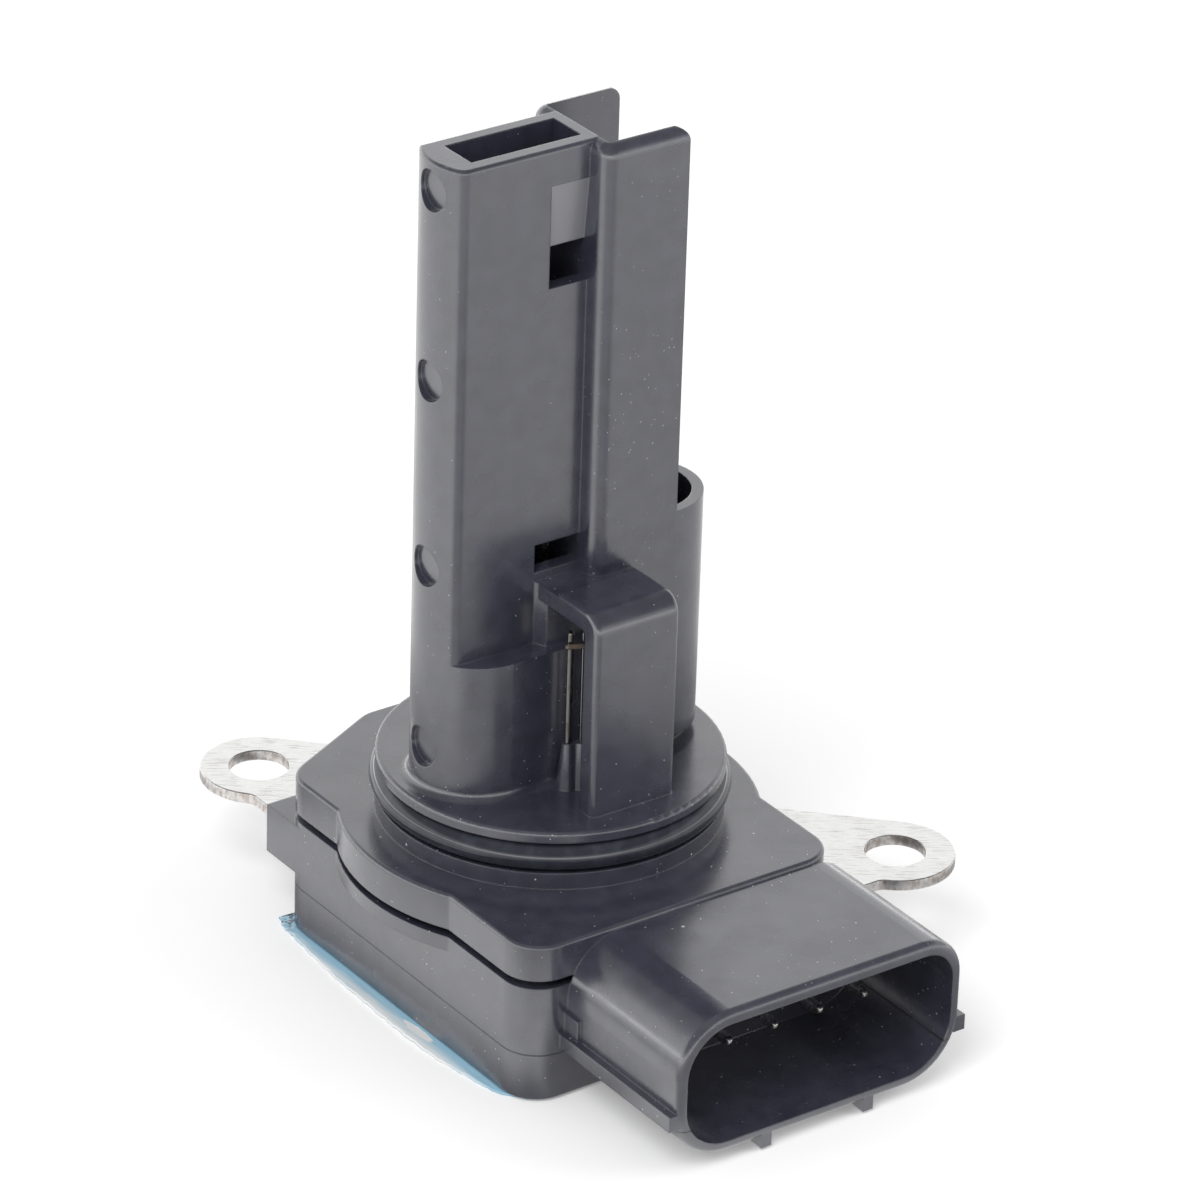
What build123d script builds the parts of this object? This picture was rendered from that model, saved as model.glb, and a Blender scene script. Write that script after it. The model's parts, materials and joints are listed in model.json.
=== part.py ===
"""Plug-in mass airflow sensor with a flat probe, a two-eared steel plate and a five-pin connector.

The origin is on the axis of the round collar, in the plane of the steel plate's upper face.
+Z points along the probe, -Y out of the connector. Lengths are in millimetres.
"""

import os

from build123d import *

os.makedirs("parts", exist_ok=True)

# Heights of the collar and the block, upwards from the plate's upper face
lug_top = 0.4
ledge_height = 0.5
groove_gap = 0.65
block_height = 2.93
shoulder_height = 1.42
ring_groove_height = 2.5
rim_thickness = 0.9
housing_bottom = lug_top + ledge_height
block_bottom = housing_bottom + groove_gap
block_top = block_bottom + block_height
ring_groove_bottom = block_top + shoulder_height
rim_bottom = ring_groove_bottom + ring_groove_height
collar_top = rim_bottom + rim_thickness

# Heights below the plate's upper face
seam_depth = 4.77
cover_height = 3.86
cover_bottom = -seam_depth - cover_height
lug_height = 4.07
bulge_skirt = 1.2

# Block outline, seen from above
block_left = 14.24
block_right = 14.1
block_front = 17.8
block_back = 19.2
corner_cut_x = 10.2
corner_cut_y = 5.0
front_corner_radius = 3.0
back_corner_radius = 3.0
bulge_radius = 16.1
bulge_blend = 0.6
edge_rounding = 0.3
groove_depth = 1.6
lug_reach = 3.0
lug_length = 9.0

# Collar and its seal
collar_radius = 13.25
ring_section = 2.4
ring_proud = 0.45
ring_outer_radius = collar_radius + ring_proud
ring_center_radius = ring_outer_radius - ring_section / 2
ring_groove_radius = ring_outer_radius - ring_section

# Probe: a slot-shaped base that carries a flat tube and an open channel
probe_height = 50.8
probe_half_width = 4.85
round_end_margin = 1.35
nose_margin = 1.05
left_round_x = probe_half_width + round_end_margin - collar_radius
nose_x = collar_radius - nose_margin - probe_half_width
base_height = 11.2
foot_radius = 0.7
tube_half_width = 2.9
tube_wall = 1.18
tube_end_wall = 2.3
passage_left = left_round_x - probe_half_width + tube_end_wall
passage_right = -0.1
passage_bottom = 13.0
web_thickness = 0.9
wing_thickness = 0.9
wing_corner_radius = 1.0
wing_root_rounding = 1.2
wing_root_margin = wing_root_rounding + 0.3
tube_corner_rounding = 1.0
nose_height = 19.9
nose_floor = 3.0
foot_gap = 0.8
foot_inset = 0.7
rim_rounding = 0.3
probe_top = collar_top + probe_height
passage_half_width = tube_half_width - tube_wall
channel_half_width = probe_half_width - wing_thickness
web_right = passage_right + web_thickness

# Air windows in the tube's front wall
window_left = -3.4
window_top = 47.95
window_ramp_end = 43.0
window_ramp_depth = 0.45
window_bottom = 39.85
lower_window_left = -4.05
lower_window_top = 19.3
lower_window_bottom = 17.06

# Round ejector marks up the narrow side
mark_radius = 1.6
mark_depth = 0.6
mark_first = 3.53
mark_pitch = 15.0
mark_count = 4

# Hood over the air temperature sensor
hood_left = -3.85
hood_right = 3.6
hood_front = 10.8
hood_wall = 1.6
hood_height = 16.6
hood_bend = 1.6
hood_inner_bend = 0.4
hood_back_step = 0.3
hood_step_y = 5.8
pillar_left = -4.0
pillar_slant = 0.5
pillar_front = 3.95
hood_edge_rounding = 0.45

# Connector shroud
shroud_center_x = 2.25
shroud_width = 25.7
shroud_wall = 0.85
shroud_roof_extra = 0.25
shroud_top = 4.15
shroud_height = 11.8
mouth_y = -31.72
shroud_depth = 11.3
shroud_left_radius = 4.6
shroud_top_right_radius = 3.5
shroud_bottom_right_radius = 5.0
rail_top = -3.2
rail_height = 1.25
rail_reach = 0.6
rail_setback = 0.15
rib_spacing = 9.3
rib_width = 0.9
rib_length = 5.0
rib_setback = 0.05
rib_floor_gap = 0.1
gate_length = 1.7
gate_height = 1.75
gate_proud = 0.25
mouth_rounding = 0.55
mouth_inner_rounding = 0.1
shroud_bottom = shroud_top - shroud_height
shroud_left = shroud_center_x - shroud_width / 2
shroud_right = shroud_center_x + shroud_width / 2
socket_back = mouth_y + shroud_depth

# Contact pins
pin_count = 5
pin_pitch = 4.15
pin_thickness = 0.64
pin_recess = 5.8
pin_taper = 0.2
pin_row_shift = 0.25
barb_width = 1.5
barb_length = 2.0
barb_depth = 1.0
pad_width = 1.2
pad_length = 2.6
pin_reach_inside = 2.2

# Electronics space and board
housing_wall = 1.4
board_ledge = 1.0
board_clearance = 0.15
board_thickness = 0.8
tongue_height = 0.8
chamber_radius = 9.5
chamber_top = 3.0
chamber_roof = 1.9
cover_floor = 1.2
tongue_clearance = 0.1
tongue_wall = 0.9
board_bottom = tongue_height - seam_depth
board_top = board_bottom + board_thickness

# Steel plate
plate_thickness = 0.9
plate_bore_radius = 11.5
ear_radius = 4.6
screw_hole_radius = 2.35
left_hole = (-11.05, 23.3)
right_hole = (22.6, -13.8)
left_arm_edge = -13.95
right_arm_edge = -16.75
plate_inset = 1.6
arm_skin = 0.4
ear_neck_radius = 1.2

# Sensing posts and elements in the passage
post_side = 0.6
post_margin = 1.15
pair_distance = 2.0
post_spacing = (passage_right - passage_left - pair_distance) / 2 - post_margin
post_first_x = passage_left + post_margin
post_top = 22.6
element_radius = 0.4
element_drop = 1.0

# Air temperature sensor
lead_side = 0.5
lead_x = -2.55
lead_gap_y = 0.85
lead_spacing = 1.07
lead_turn = -26.0
lead_tip = 13.1
bead_height = 12.0
bead_radius = 0.2
bead_overhang = 0.39
bead_tip_radius = 0.24
boss_radius = 0.85
boss_taper = 6.0
boss_height = 3.75

# Bodies under the board: middle X, middle Y, size along X, size along Y, height
board_bodies = {
    "control_chip": (0.8, 1.0, 7.0, 7.0, 1.2),
    "heater_transistor": (-8.2, 1.0, 6.5, 6.0, 1.8),
    "filter_capacitor_1": (8.6, 5.2, 1.6, 3.2, 1.4),
    "filter_capacitor_2": (8.6, 0.8, 1.6, 3.2, 1.4),
    "trim_resistor_1": (-3.0, 9.0, 3.2, 2.5, 0.6),
    "trim_resistor_2": (3.2, 9.0, 3.2, 2.5, 0.6),
    "surge_diode": (8.6, -7.2, 2.6, 4.5, 1.9),
}
body_chamfer = 0.15

# Label film under the cover
film_thickness = 0.15
film_reach = 1.6
film_margin = 1.2


def nearest(vertices, x, y):
    """The vertex that lies nearest to (x, y) in a sketch."""
    return vertices.sort_by_distance((x, y, 0))[0]


def span(x_low, x_high, y_low, y_high, mode=Mode.ADD):
    """A rectangle between two pairs of limits, for use inside a sketch."""
    with Locations(((x_low + x_high) / 2, (y_low + y_high) / 2)):
        return Rectangle(x_high - x_low, y_high - y_low, mode=mode)


def block_outline():
    """The block's outline with its cut corner, without the round bulges."""
    cut_start = block_back - corner_cut_y
    cut_end = corner_cut_x - block_left
    with BuildSketch() as outline:
        with BuildLine():
            Polyline(
                (-block_left, -block_front),
                (block_right, -block_front),
                (block_right, block_back),
                (cut_end, block_back),
                (-block_left, cut_start),
                close=True,
            )
        make_face()
        fillet(nearest(outline.vertices(), -block_left, -block_front), front_corner_radius)
        fillet(nearest(outline.vertices(), block_right, -block_front), front_corner_radius)
        fillet(nearest(outline.vertices(), block_right, block_back), back_corner_radius)
        fillet(nearest(outline.vertices(), cut_end, block_back), back_corner_radius)
        fillet(nearest(outline.vertices(), -block_left, cut_start), back_corner_radius)
    return outline.sketch


def bulged_outline():
    """The block's outline with the round bulges that run about the collar's axis."""
    with BuildSketch() as outline:
        add(block_outline())
        Circle(bulge_radius)
        for side in (-block_left, block_right):
            cross = (bulge_radius**2 - side**2) ** 0.5
            fillet(nearest(outline.vertices(), side, cross), bulge_blend)
            fillet(nearest(outline.vertices(), side, -cross), bulge_blend)
    return outline.sketch


def inset_outline(inset):
    """The block's outline moved inwards by inset all round."""
    with BuildSketch() as outline:
        add(block_outline())
        offset(amount=-inset)
    return outline.sketch


def shroud_outline(inset, roof_extra=0):
    """The shroud's section moved inwards by inset. Its X is the part's X, its Y the part's Z."""
    left, right = shroud_left + inset, shroud_right - inset
    bottom, top = shroud_bottom + inset, shroud_top - inset - roof_extra
    with BuildSketch() as outline:
        with BuildLine():
            Polyline((left, bottom), (right, bottom), (right, top), (left, top), close=True)
        make_face()
        fillet(nearest(outline.vertices(), left, bottom), shroud_left_radius - inset)
        fillet(nearest(outline.vertices(), left, top), shroud_left_radius - inset)
        fillet(nearest(outline.vertices(), right, top), shroud_top_right_radius - inset)
        fillet(nearest(outline.vertices(), right, bottom), shroud_bottom_right_radius - inset)
    return outline.sketch


def probe_slot():
    """The slot shape of the probe's base, with the round end and the nose."""
    with BuildSketch() as slot:
        with Locations(((left_round_x + nose_x) / 2, 0)):
            SlotCenterToCenter(nose_x - left_round_x, 2 * probe_half_width)
    return slot.sketch


# Steel plate with its two ears, stamped in one piece
arm_end_y = block_back - corner_cut_y + lug_reach
arm_step_y = arm_end_y - arm_skin
arm_step_x = block_right + arm_skin
plate_left = plate_inset - block_left
plate_front = plate_inset - block_front
plate_right = block_right - plate_inset
ear_shift = ear_radius / 2**0.5
left_line = left_hole[0] + left_hole[1] + 2 * ear_shift
right_line = right_hole[0] + right_hole[1] + 2 * ear_shift
left_neck_y = left_hole[1] - (ear_radius**2 - (left_hole[0] - left_arm_edge) ** 2) ** 0.5
right_neck_x = right_hole[0] - (ear_radius**2 - (right_hole[1] - right_arm_edge) ** 2) ** 0.5

with BuildPart() as mount_plate:
    with BuildSketch(Plane.XY.offset(-plate_thickness)) as plate_outline:
        with BuildLine():
            Polyline(
                (plate_left, plate_front),
                (arm_step_x, plate_front),
                (arm_step_x, right_arm_edge),
                (right_hole[0], right_arm_edge),
                (right_hole[0] + ear_shift, right_hole[1] + ear_shift),
                (plate_right, right_line - plate_right),
                (plate_right, left_line - plate_right),
                (left_hole[0] + ear_shift, left_hole[1] + ear_shift),
                (left_arm_edge, left_hole[1]),
                (left_arm_edge, arm_step_y),
                (plate_left, arm_step_y),
                close=True,
            )
        make_face()
        with Locations(left_hole, right_hole):
            Circle(ear_radius)
        fillet(nearest(plate_outline.vertices(), left_arm_edge, left_neck_y), ear_neck_radius)
        fillet(nearest(plate_outline.vertices(), right_neck_x, right_arm_edge), ear_neck_radius)
        with Locations(left_hole, right_hole):
            Circle(screw_hole_radius, mode=Mode.SUBTRACT)
        Circle(plate_bore_radius, mode=Mode.SUBTRACT)
    extrude(amount=plate_thickness)
mount_plate.part.label = "mount_plate"
export_step(mount_plate.part, "parts/mount_plate.step")


# Ceramic board, seated under the ledge of the housing
with BuildPart() as circuit_board:
    with BuildSketch(Plane.XY.offset(board_bottom)):
        add(inset_outline(housing_wall + board_clearance))
    extrude(amount=board_thickness)
circuit_board.part.label = "circuit_board"
export_step(circuit_board.part, "parts/circuit_board.step")


# Contact pins, from the socket through its back wall onto the board
pin_tip_y = mouth_y + pin_recess
pin_inner_end = pin_reach_inside + pad_length + board_ledge + housing_wall - block_front
barb_start = socket_back + barb_depth
pin_middle = shroud_center_x + pin_row_shift
pin_xs = [pin_middle + (i - (pin_count - 1) / 2) * pin_pitch for i in range(pin_count)]


def contact_pin(x):
    """One stamped contact at x: a square pin with a tapered tip, a barbed stretch and a pad."""
    with BuildPart() as pin:
        with BuildSketch(Plane.XY.offset(board_top)):
            span(x - pin_thickness / 2, x + pin_thickness / 2, pin_tip_y, pin_inner_end)
            span(x - barb_width / 2, x + barb_width / 2, barb_start, barb_start + barb_length)
            span(x - pad_width / 2, x + pad_width / 2, pin_inner_end - pad_length, pin_inner_end)
        extrude(amount=pin_thickness)
        chamfer(pin.faces().sort_by(Axis.Y)[0].edges(), pin_taper)
    return pin.part


contact_pins = [contact_pin(x) for x in pin_xs]
for number, contact in enumerate(contact_pins, start=1):
    contact.label = f"connector_terminal_{number}"
    export_step(contact, f"parts/{contact.label}.step")


# Sensing posts from the board into the air passage, and the leads of the temperature sensor
pair_step = post_spacing + pair_distance
first_pair = (post_first_x, post_first_x + post_spacing)
second_pair = (post_first_x + pair_step, post_first_x + pair_step + post_spacing)
lead_plane = Plane(
    origin=(lead_x, -probe_half_width - lead_gap_y, 0),
    x_dir=Vector(1, 0, 0).rotate(Axis.Z, lead_turn),
    z_dir=(0, 0, 1),
)


def square_post(plane, x, side, top):
    """A square post that stands on the board at x on a plane."""
    with BuildPart() as post:
        with BuildSketch(plane.offset(board_top)):
            with Locations((x, 0)):
                Rectangle(side, side)
        extrude(amount=top - board_top)
    return post.part


sensing_posts = [
    square_post(Plane.XY, x, post_side, collar_top + post_top) for x in first_pair + second_pair
]
for number, sensing_post in enumerate(sensing_posts, start=1):
    sensing_post.label = f"sensing_post_{number}"
    export_step(sensing_post, f"parts/{sensing_post.label}.step")

sensor_leads = [square_post(lead_plane, x, lead_side, collar_top + lead_tip) for x in (0, lead_spacing)]
for side, sensor_lead in zip(("left", "right"), sensor_leads):
    sensor_lead.label = f"thermistor_lead_{side}"
    export_step(sensor_lead, f"parts/{sensor_lead.label}.step")


# Heating and reference elements, each welded between the faces of two posts
def wire_element(pair):
    """A wound element between two posts of the air passage."""
    with BuildPart() as element:
        with BuildSketch(Plane.YZ.offset(pair[0] + post_side / 2)):
            with Locations((0, collar_top + post_top - element_drop)):
                Circle(element_radius)
        extrude(amount=post_spacing - post_side)
    return element.part


for name, pair in (("heating_element", first_pair), ("reference_element", second_pair)):
    element_part = wire_element(pair)
    element_part.label = name
    export_step(element_part, f"parts/{name}.step")


# Glass bead of the temperature sensor, welded across its two leads
bead_plane = Plane(
    origin=lead_plane.from_local_coords((0, -lead_side / 2 - bead_radius, collar_top + bead_height)),
    x_dir=lead_plane.y_dir,
    z_dir=lead_plane.x_dir,
)
with BuildPart() as thermistor_bead:
    with BuildSketch(bead_plane.offset(-bead_overhang)):
        Circle(bead_radius)
    extrude(amount=lead_spacing + lead_side / 2 + bead_overhang)
    with Locations(bead_plane.offset(-bead_overhang)):
        Sphere(bead_tip_radius)
thermistor_bead.part.label = "thermistor_bead"
export_step(thermistor_bead.part, "parts/thermistor_bead.step")


# Housing, one moulding round the plate, the pins, the posts and the leads
nose_end = nose_x + probe_half_width
nose_top = collar_top + nose_height
base_top = collar_top + base_height
hood_top = collar_top + hood_height
hood_shelf = hood_top - hood_back_step
roof_under = hood_top - hood_wall
lug_start = block_back - corner_cut_y - back_corner_radius
rail_bottom = rail_top - rail_height
rib_bottom = cover_bottom + rib_floor_gap

with BuildPart() as sensor_housing:
    # Lower body, with the skirt of the round bulges
    with BuildSketch(Plane.XY.offset(-seam_depth)):
        add(block_outline())
    extrude(amount=seam_depth + housing_bottom)
    with BuildSketch(Plane.XY.offset(housing_bottom - bulge_skirt)):
        add(bulged_outline())
    extrude(amount=bulge_skirt)

    # Lug that holds the left arm of the plate
    with BuildSketch(Plane.XY.offset(lug_top - lug_height)):
        span(-block_left, lug_length - block_left, lug_start, arm_end_y)
    extrude(amount=lug_height)

    # Neck in the groove round the block
    with BuildSketch(Plane.XY.offset(housing_bottom)):
        add(inset_outline(groove_depth))
    extrude(amount=groove_gap)

    # Upper block with rounded upper edges
    with BuildSketch(Plane.XY.offset(block_bottom)):
        add(bulged_outline())
    extrude(amount=block_height)
    fillet(sensor_housing.faces().sort_by(Axis.Z)[-1].edges(), edge_rounding)

    # Collar with the groove for the seal
    with BuildSketch(Plane.XY.offset(block_top)):
        Circle(collar_radius)
    extrude(amount=shoulder_height)
    with BuildSketch(Plane.XY.offset(ring_groove_bottom)):
        Circle(ring_groove_radius)
    extrude(amount=ring_groove_height)
    with BuildSketch(Plane.XY.offset(rim_bottom)):
        Circle(collar_radius)
    extrude(amount=rim_thickness)
    fillet(sensor_housing.faces().sort_by(Axis.Z)[-1].edges(), edge_rounding)

    # Probe as one tall slot shape, with a rounded foot that is set back under the nose
    with BuildSketch(Plane.XY.offset(collar_top)):
        add(probe_slot())
    extrude(amount=probe_height)
    base_foot = sensor_housing.edges().filter_by_position(Axis.Z, collar_top, collar_top)
    fillet(base_foot.filter_by_position(Axis.Y, -probe_half_width, probe_half_width), foot_radius)
    with BuildSketch(Plane.XY.offset(collar_top)):
        span(nose_x, nose_end + foot_radius, -collar_radius, collar_radius)
        Circle(collar_radius - edge_rounding, mode=Mode.INTERSECT)
        with Locations((nose_x, 0)):
            Circle(probe_half_width - foot_inset, mode=Mode.SUBTRACT)
    extrude(amount=foot_gap, mode=Mode.SUBTRACT)

    # Above the base it narrows to a flat tube, and above the nose its wings stand free
    for side in (-1, 1):
        with BuildSketch(Plane.XY.offset(base_top)) as tube_side:
            with BuildLine():
                Polyline(
                    (-nose_end, side * collar_radius),
                    (passage_right + wing_root_margin, side * collar_radius),
                    (passage_right + wing_root_margin, side * probe_half_width),
                    (passage_right, side * probe_half_width),
                    (passage_right, side * tube_half_width),
                    (-nose_end, side * tube_half_width),
                    close=True,
                )
            make_face()
            wing_root = nearest(tube_side.vertices(), passage_right, side * probe_half_width)
            fillet(wing_root, wing_root_rounding)
        extrude(amount=probe_height, mode=Mode.SUBTRACT)
    tube_uprights = sensor_housing.edges().filter_by(Axis.Z).filter_by_position(Axis.Z, base_top, probe_top)
    tube_uprights = tube_uprights.filter_by_position(Axis.Y, -tube_half_width, tube_half_width)
    fillet(tube_uprights.group_by(Axis.X)[0], tube_corner_rounding)
    with BuildSketch(Plane.XY.offset(nose_top)):
        span(nose_x, nose_end + foot_radius, -collar_radius, collar_radius)
    extrude(amount=probe_height, mode=Mode.SUBTRACT)
    wing_ends = sensor_housing.edges().filter_by(Axis.Y).group_by(Axis.Z)[-1]
    fillet(wing_ends, wing_corner_radius)
    tube_rim = sensor_housing.faces().sort_by(Axis.Z)[-1].edges()
    fillet(tube_rim.filter_by_position(Axis.X, -nose_end, passage_right - rim_rounding), rim_rounding)

    # Channel between the wings, down into the nose
    with BuildSketch(Plane.XY.offset(collar_top + nose_floor)):
        span(web_right, nose_x, -channel_half_width, channel_half_width)
        with Locations((nose_x, 0)):
            Circle(channel_half_width)
        span(web_right, nose_end, -channel_half_width, channel_half_width, Mode.INTERSECT)
    extrude(amount=probe_height, mode=Mode.SUBTRACT)

    # Pillar behind the temperature sensor, and the hood bent over it
    with BuildSketch(Plane.XY.offset(base_top - foot_radius)):
        with BuildLine():
            Polyline(
                (pillar_left, -tube_half_width),
                (pillar_left + pillar_slant, -pillar_front),
                (web_right, -pillar_front),
                (web_right, -tube_half_width),
                close=True,
            )
        make_face()
    extrude(amount=hood_shelf - base_top + foot_radius)
    with BuildSketch(Plane.XY.offset(roof_under)):
        span(hood_left, web_right, -probe_half_width, -tube_half_width)
        span(web_right, passage_right + wing_root_rounding, -probe_half_width, -channel_half_width)
    extrude(amount=hood_shelf - roof_under)
    with BuildPart():
        with BuildSketch(Plane.YZ.offset(hood_left)) as hood_section:
            with BuildLine():
                Polyline(
                    (-hood_front, rim_bottom),
                    (-hood_front, hood_top),
                    (-hood_step_y, hood_top),
                    (-hood_step_y, hood_shelf),
                    (-probe_half_width, hood_shelf),
                    (-probe_half_width, roof_under),
                    (hood_wall - hood_front, roof_under),
                    (hood_wall - hood_front, rim_bottom),
                    close=True,
                )
            make_face()
            fillet(nearest(hood_section.vertices(), -hood_front, hood_top), hood_bend)
            fillet(nearest(hood_section.vertices(), hood_wall - hood_front, roof_under), hood_inner_bend)
        hood = extrude(amount=hood_right - hood_left)
        fillet(hood.faces().sort_by(Axis.Y)[0].edges().filter_by(Axis.Z), hood_edge_rounding)

    # Bosses at the feet of the sensor's leads
    with BuildSketch(lead_plane.offset(collar_top)):
        with Locations((0, 0), (lead_spacing, 0)):
            Circle(boss_radius)
    extrude(amount=boss_height, taper=boss_taper)

    # Air passage in the tube, and the two windows in its front wall
    with BuildSketch(Plane.XY.offset(collar_top + passage_bottom)):
        span(passage_left, passage_right, -passage_half_width, passage_half_width)
    extrude(amount=probe_height - passage_bottom, mode=Mode.SUBTRACT)
    with BuildSketch(Plane.YZ.offset(window_left)):
        with BuildLine():
            Polyline(
                (-tube_half_width, collar_top + window_top),
                (window_ramp_depth - tube_half_width, collar_top + window_ramp_end),
                (-passage_half_width, collar_top + window_ramp_end),
                (-passage_half_width, collar_top + window_bottom),
                (-tube_half_width, collar_top + window_bottom),
                close=True,
            )
        make_face()
    extrude(amount=passage_right - window_left, mode=Mode.SUBTRACT)
    with BuildSketch(Plane.YZ.offset(lower_window_left)):
        lower_sill = collar_top + lower_window_bottom
        lower_head = collar_top + lower_window_top
        span(-tube_half_width, -passage_half_width, lower_sill, lower_head)
    extrude(amount=passage_right - lower_window_left, mode=Mode.SUBTRACT)

    # Round ejector marks up the narrow side
    mark_plane = Plane.YZ.offset(left_round_x - probe_half_width + mark_depth)
    with BuildSketch(mark_plane):
        for row in range(mark_count):
            with Locations((0, collar_top + mark_first + row * mark_pitch)):
                Circle(mark_radius)
    extrude(amount=-probe_half_width, mode=Mode.SUBTRACT)

    # Connector shroud with its socket, side rails, bottom ribs and gate pad
    with BuildSketch(Plane.XZ.offset(block_front)):
        add(shroud_outline(0))
    extrude(amount=-mouth_y - block_front)
    with BuildSketch(Plane.XZ.offset(-socket_back)):
        add(shroud_outline(shroud_wall, shroud_roof_extra))
    extrude(amount=socket_back - mouth_y, mode=Mode.SUBTRACT)
    mouth_face = sensor_housing.faces().sort_by(Axis.Y)[0]
    fillet(mouth_face.outer_wire().edges(), mouth_rounding)
    mouth_face = sensor_housing.faces().sort_by(Axis.Y)[0]
    fillet(mouth_face.inner_wires()[0].edges(), mouth_inner_rounding)
    with BuildSketch(Plane.XZ.offset(block_front)):
        span(shroud_left - rail_reach, shroud_left + shroud_wall / 2, rail_bottom, rail_top)
        span(shroud_right - shroud_wall / 2, shroud_right + rail_reach, rail_bottom, rail_top)
    extrude(amount=-mouth_y - block_front - rail_setback)
    with BuildSketch(Plane.XZ.offset(-mouth_y - rib_setback - rib_length)):
        for rib_x in (shroud_center_x - rib_spacing / 2, shroud_center_x + rib_spacing / 2):
            span(rib_x - rib_width / 2, rib_x + rib_width / 2, rib_bottom, shroud_bottom + shroud_wall / 2)
    extrude(amount=rib_length)
    with BuildSketch(Plane.XZ.offset(block_front)):
        span(shroud_left - gate_proud, shroud_left + shroud_wall / 2, rail_top, rail_top + gate_height)
    extrude(amount=gate_length)

    # Space for the electronics, open below and closed by the cover
    with BuildSketch(Plane.XY.offset(-seam_depth)):
        add(inset_outline(housing_wall))
    extrude(amount=board_top + seam_depth, mode=Mode.SUBTRACT)
    with BuildSketch(Plane.XY.offset(board_top)):
        add(inset_outline(housing_wall + board_ledge))
    extrude(amount=-chamber_roof - board_top, mode=Mode.SUBTRACT)
    with BuildSketch(Plane.XY.offset(-chamber_roof)):
        Circle(chamber_radius)
    extrude(amount=chamber_top + chamber_roof, mode=Mode.SUBTRACT)

    # What is moulded in leaves its own shape
    add(mount_plate.part, mode=Mode.SUBTRACT)
    for insert in contact_pins + sensing_posts + sensor_leads:
        add(insert, mode=Mode.SUBTRACT)
sensor_housing.part.label = "sensor_housing"
export_step(sensor_housing.part, "parts/sensor_housing.step")


# Seal in the collar's groove
with BuildPart() as seal_ring:
    with BuildSketch(Plane.XZ):
        with Locations((ring_center_radius, ring_groove_bottom + ring_section / 2)):
            Circle(ring_section / 2)
    revolve(axis=Axis.Z)
seal_ring.part.label = "seal_ring"
export_step(seal_ring.part, "parts/seal_ring.step")


# Cover with a tongue that enters the housing and holds the board up
tongue_outer = housing_wall + tongue_clearance
tongue_inner = tongue_outer + tongue_wall

with BuildPart() as bottom_cover:
    with BuildSketch(Plane.XY.offset(cover_bottom)):
        add(block_outline())
    extrude(amount=cover_height)
    fillet(bottom_cover.faces().sort_by(Axis.Z)[0].edges(), edge_rounding)
    with BuildSketch(Plane.XY.offset(-seam_depth)):
        add(inset_outline(tongue_outer))
    extrude(amount=tongue_height)
    with BuildSketch(Plane.XY.offset(cover_bottom + cover_floor)):
        add(inset_outline(tongue_inner))
    extrude(amount=cover_height - cover_floor + tongue_height, mode=Mode.SUBTRACT)
bottom_cover.part.label = "bottom_cover"
export_step(bottom_cover.part, "parts/bottom_cover.step")


# Label film under the cover, which sticks out on the left
film_back = block_back - film_margin
film_front = film_margin - block_front
film_right = block_right - film_margin
film_left = -block_left - film_reach
film_corner_y = block_back - corner_cut_y + film_margin / 2

with BuildPart() as label_film:
    with BuildSketch(Plane.XY.offset(cover_bottom - film_thickness)):
        with BuildLine():
            ThreePointArc(
                (-block_left - film_margin / 2, film_corner_y),
                (film_left, film_corner_y / 2 + film_front / 2),
                (-block_left + film_margin, film_front),
            )
            Polyline(
                (-block_left + film_margin, film_front),
                (film_right, film_front),
                (film_right, film_back),
                (corner_cut_x - block_left, film_back),
                (-block_left - film_margin / 2, film_corner_y),
            )
        make_face()
    extrude(amount=film_thickness)
label_film.part.label = "label_film"
export_step(label_film.part, "parts/label_film.step")


# Bodies soldered to the underside of the board
def board_body(x, y, size_x, size_y, height):
    """A moulded or ceramic body under the board, centred at (x, y)."""
    with BuildPart() as body:
        with BuildSketch(Plane.XY.offset(board_bottom - height)):
            with Locations((x, y)):
                Rectangle(size_x, size_y)
        extrude(amount=height)
        chamfer(body.faces().sort_by(Axis.Z)[0].edges(), body_chamfer)
    return body.part


for name, dimensions in board_bodies.items():
    soldered_body = board_body(*dimensions)
    soldered_body.label = name
    export_step(soldered_body, f"parts/{name}.step")
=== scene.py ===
"""Dresses a plug-in mass airflow sensor: a flat probe on a sealed collar, a steel plate and a connector.

Every length is in metres unless its name ends in _mm. The frame is the part's own: +Z runs up the
probe and -Y out of the connector.
"""

import json
import logging
import math
from dataclasses import dataclass, field
from enum import Enum

import bmesh
import bpy
import numpy as np
from mathutils import Matrix, Vector

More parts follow.
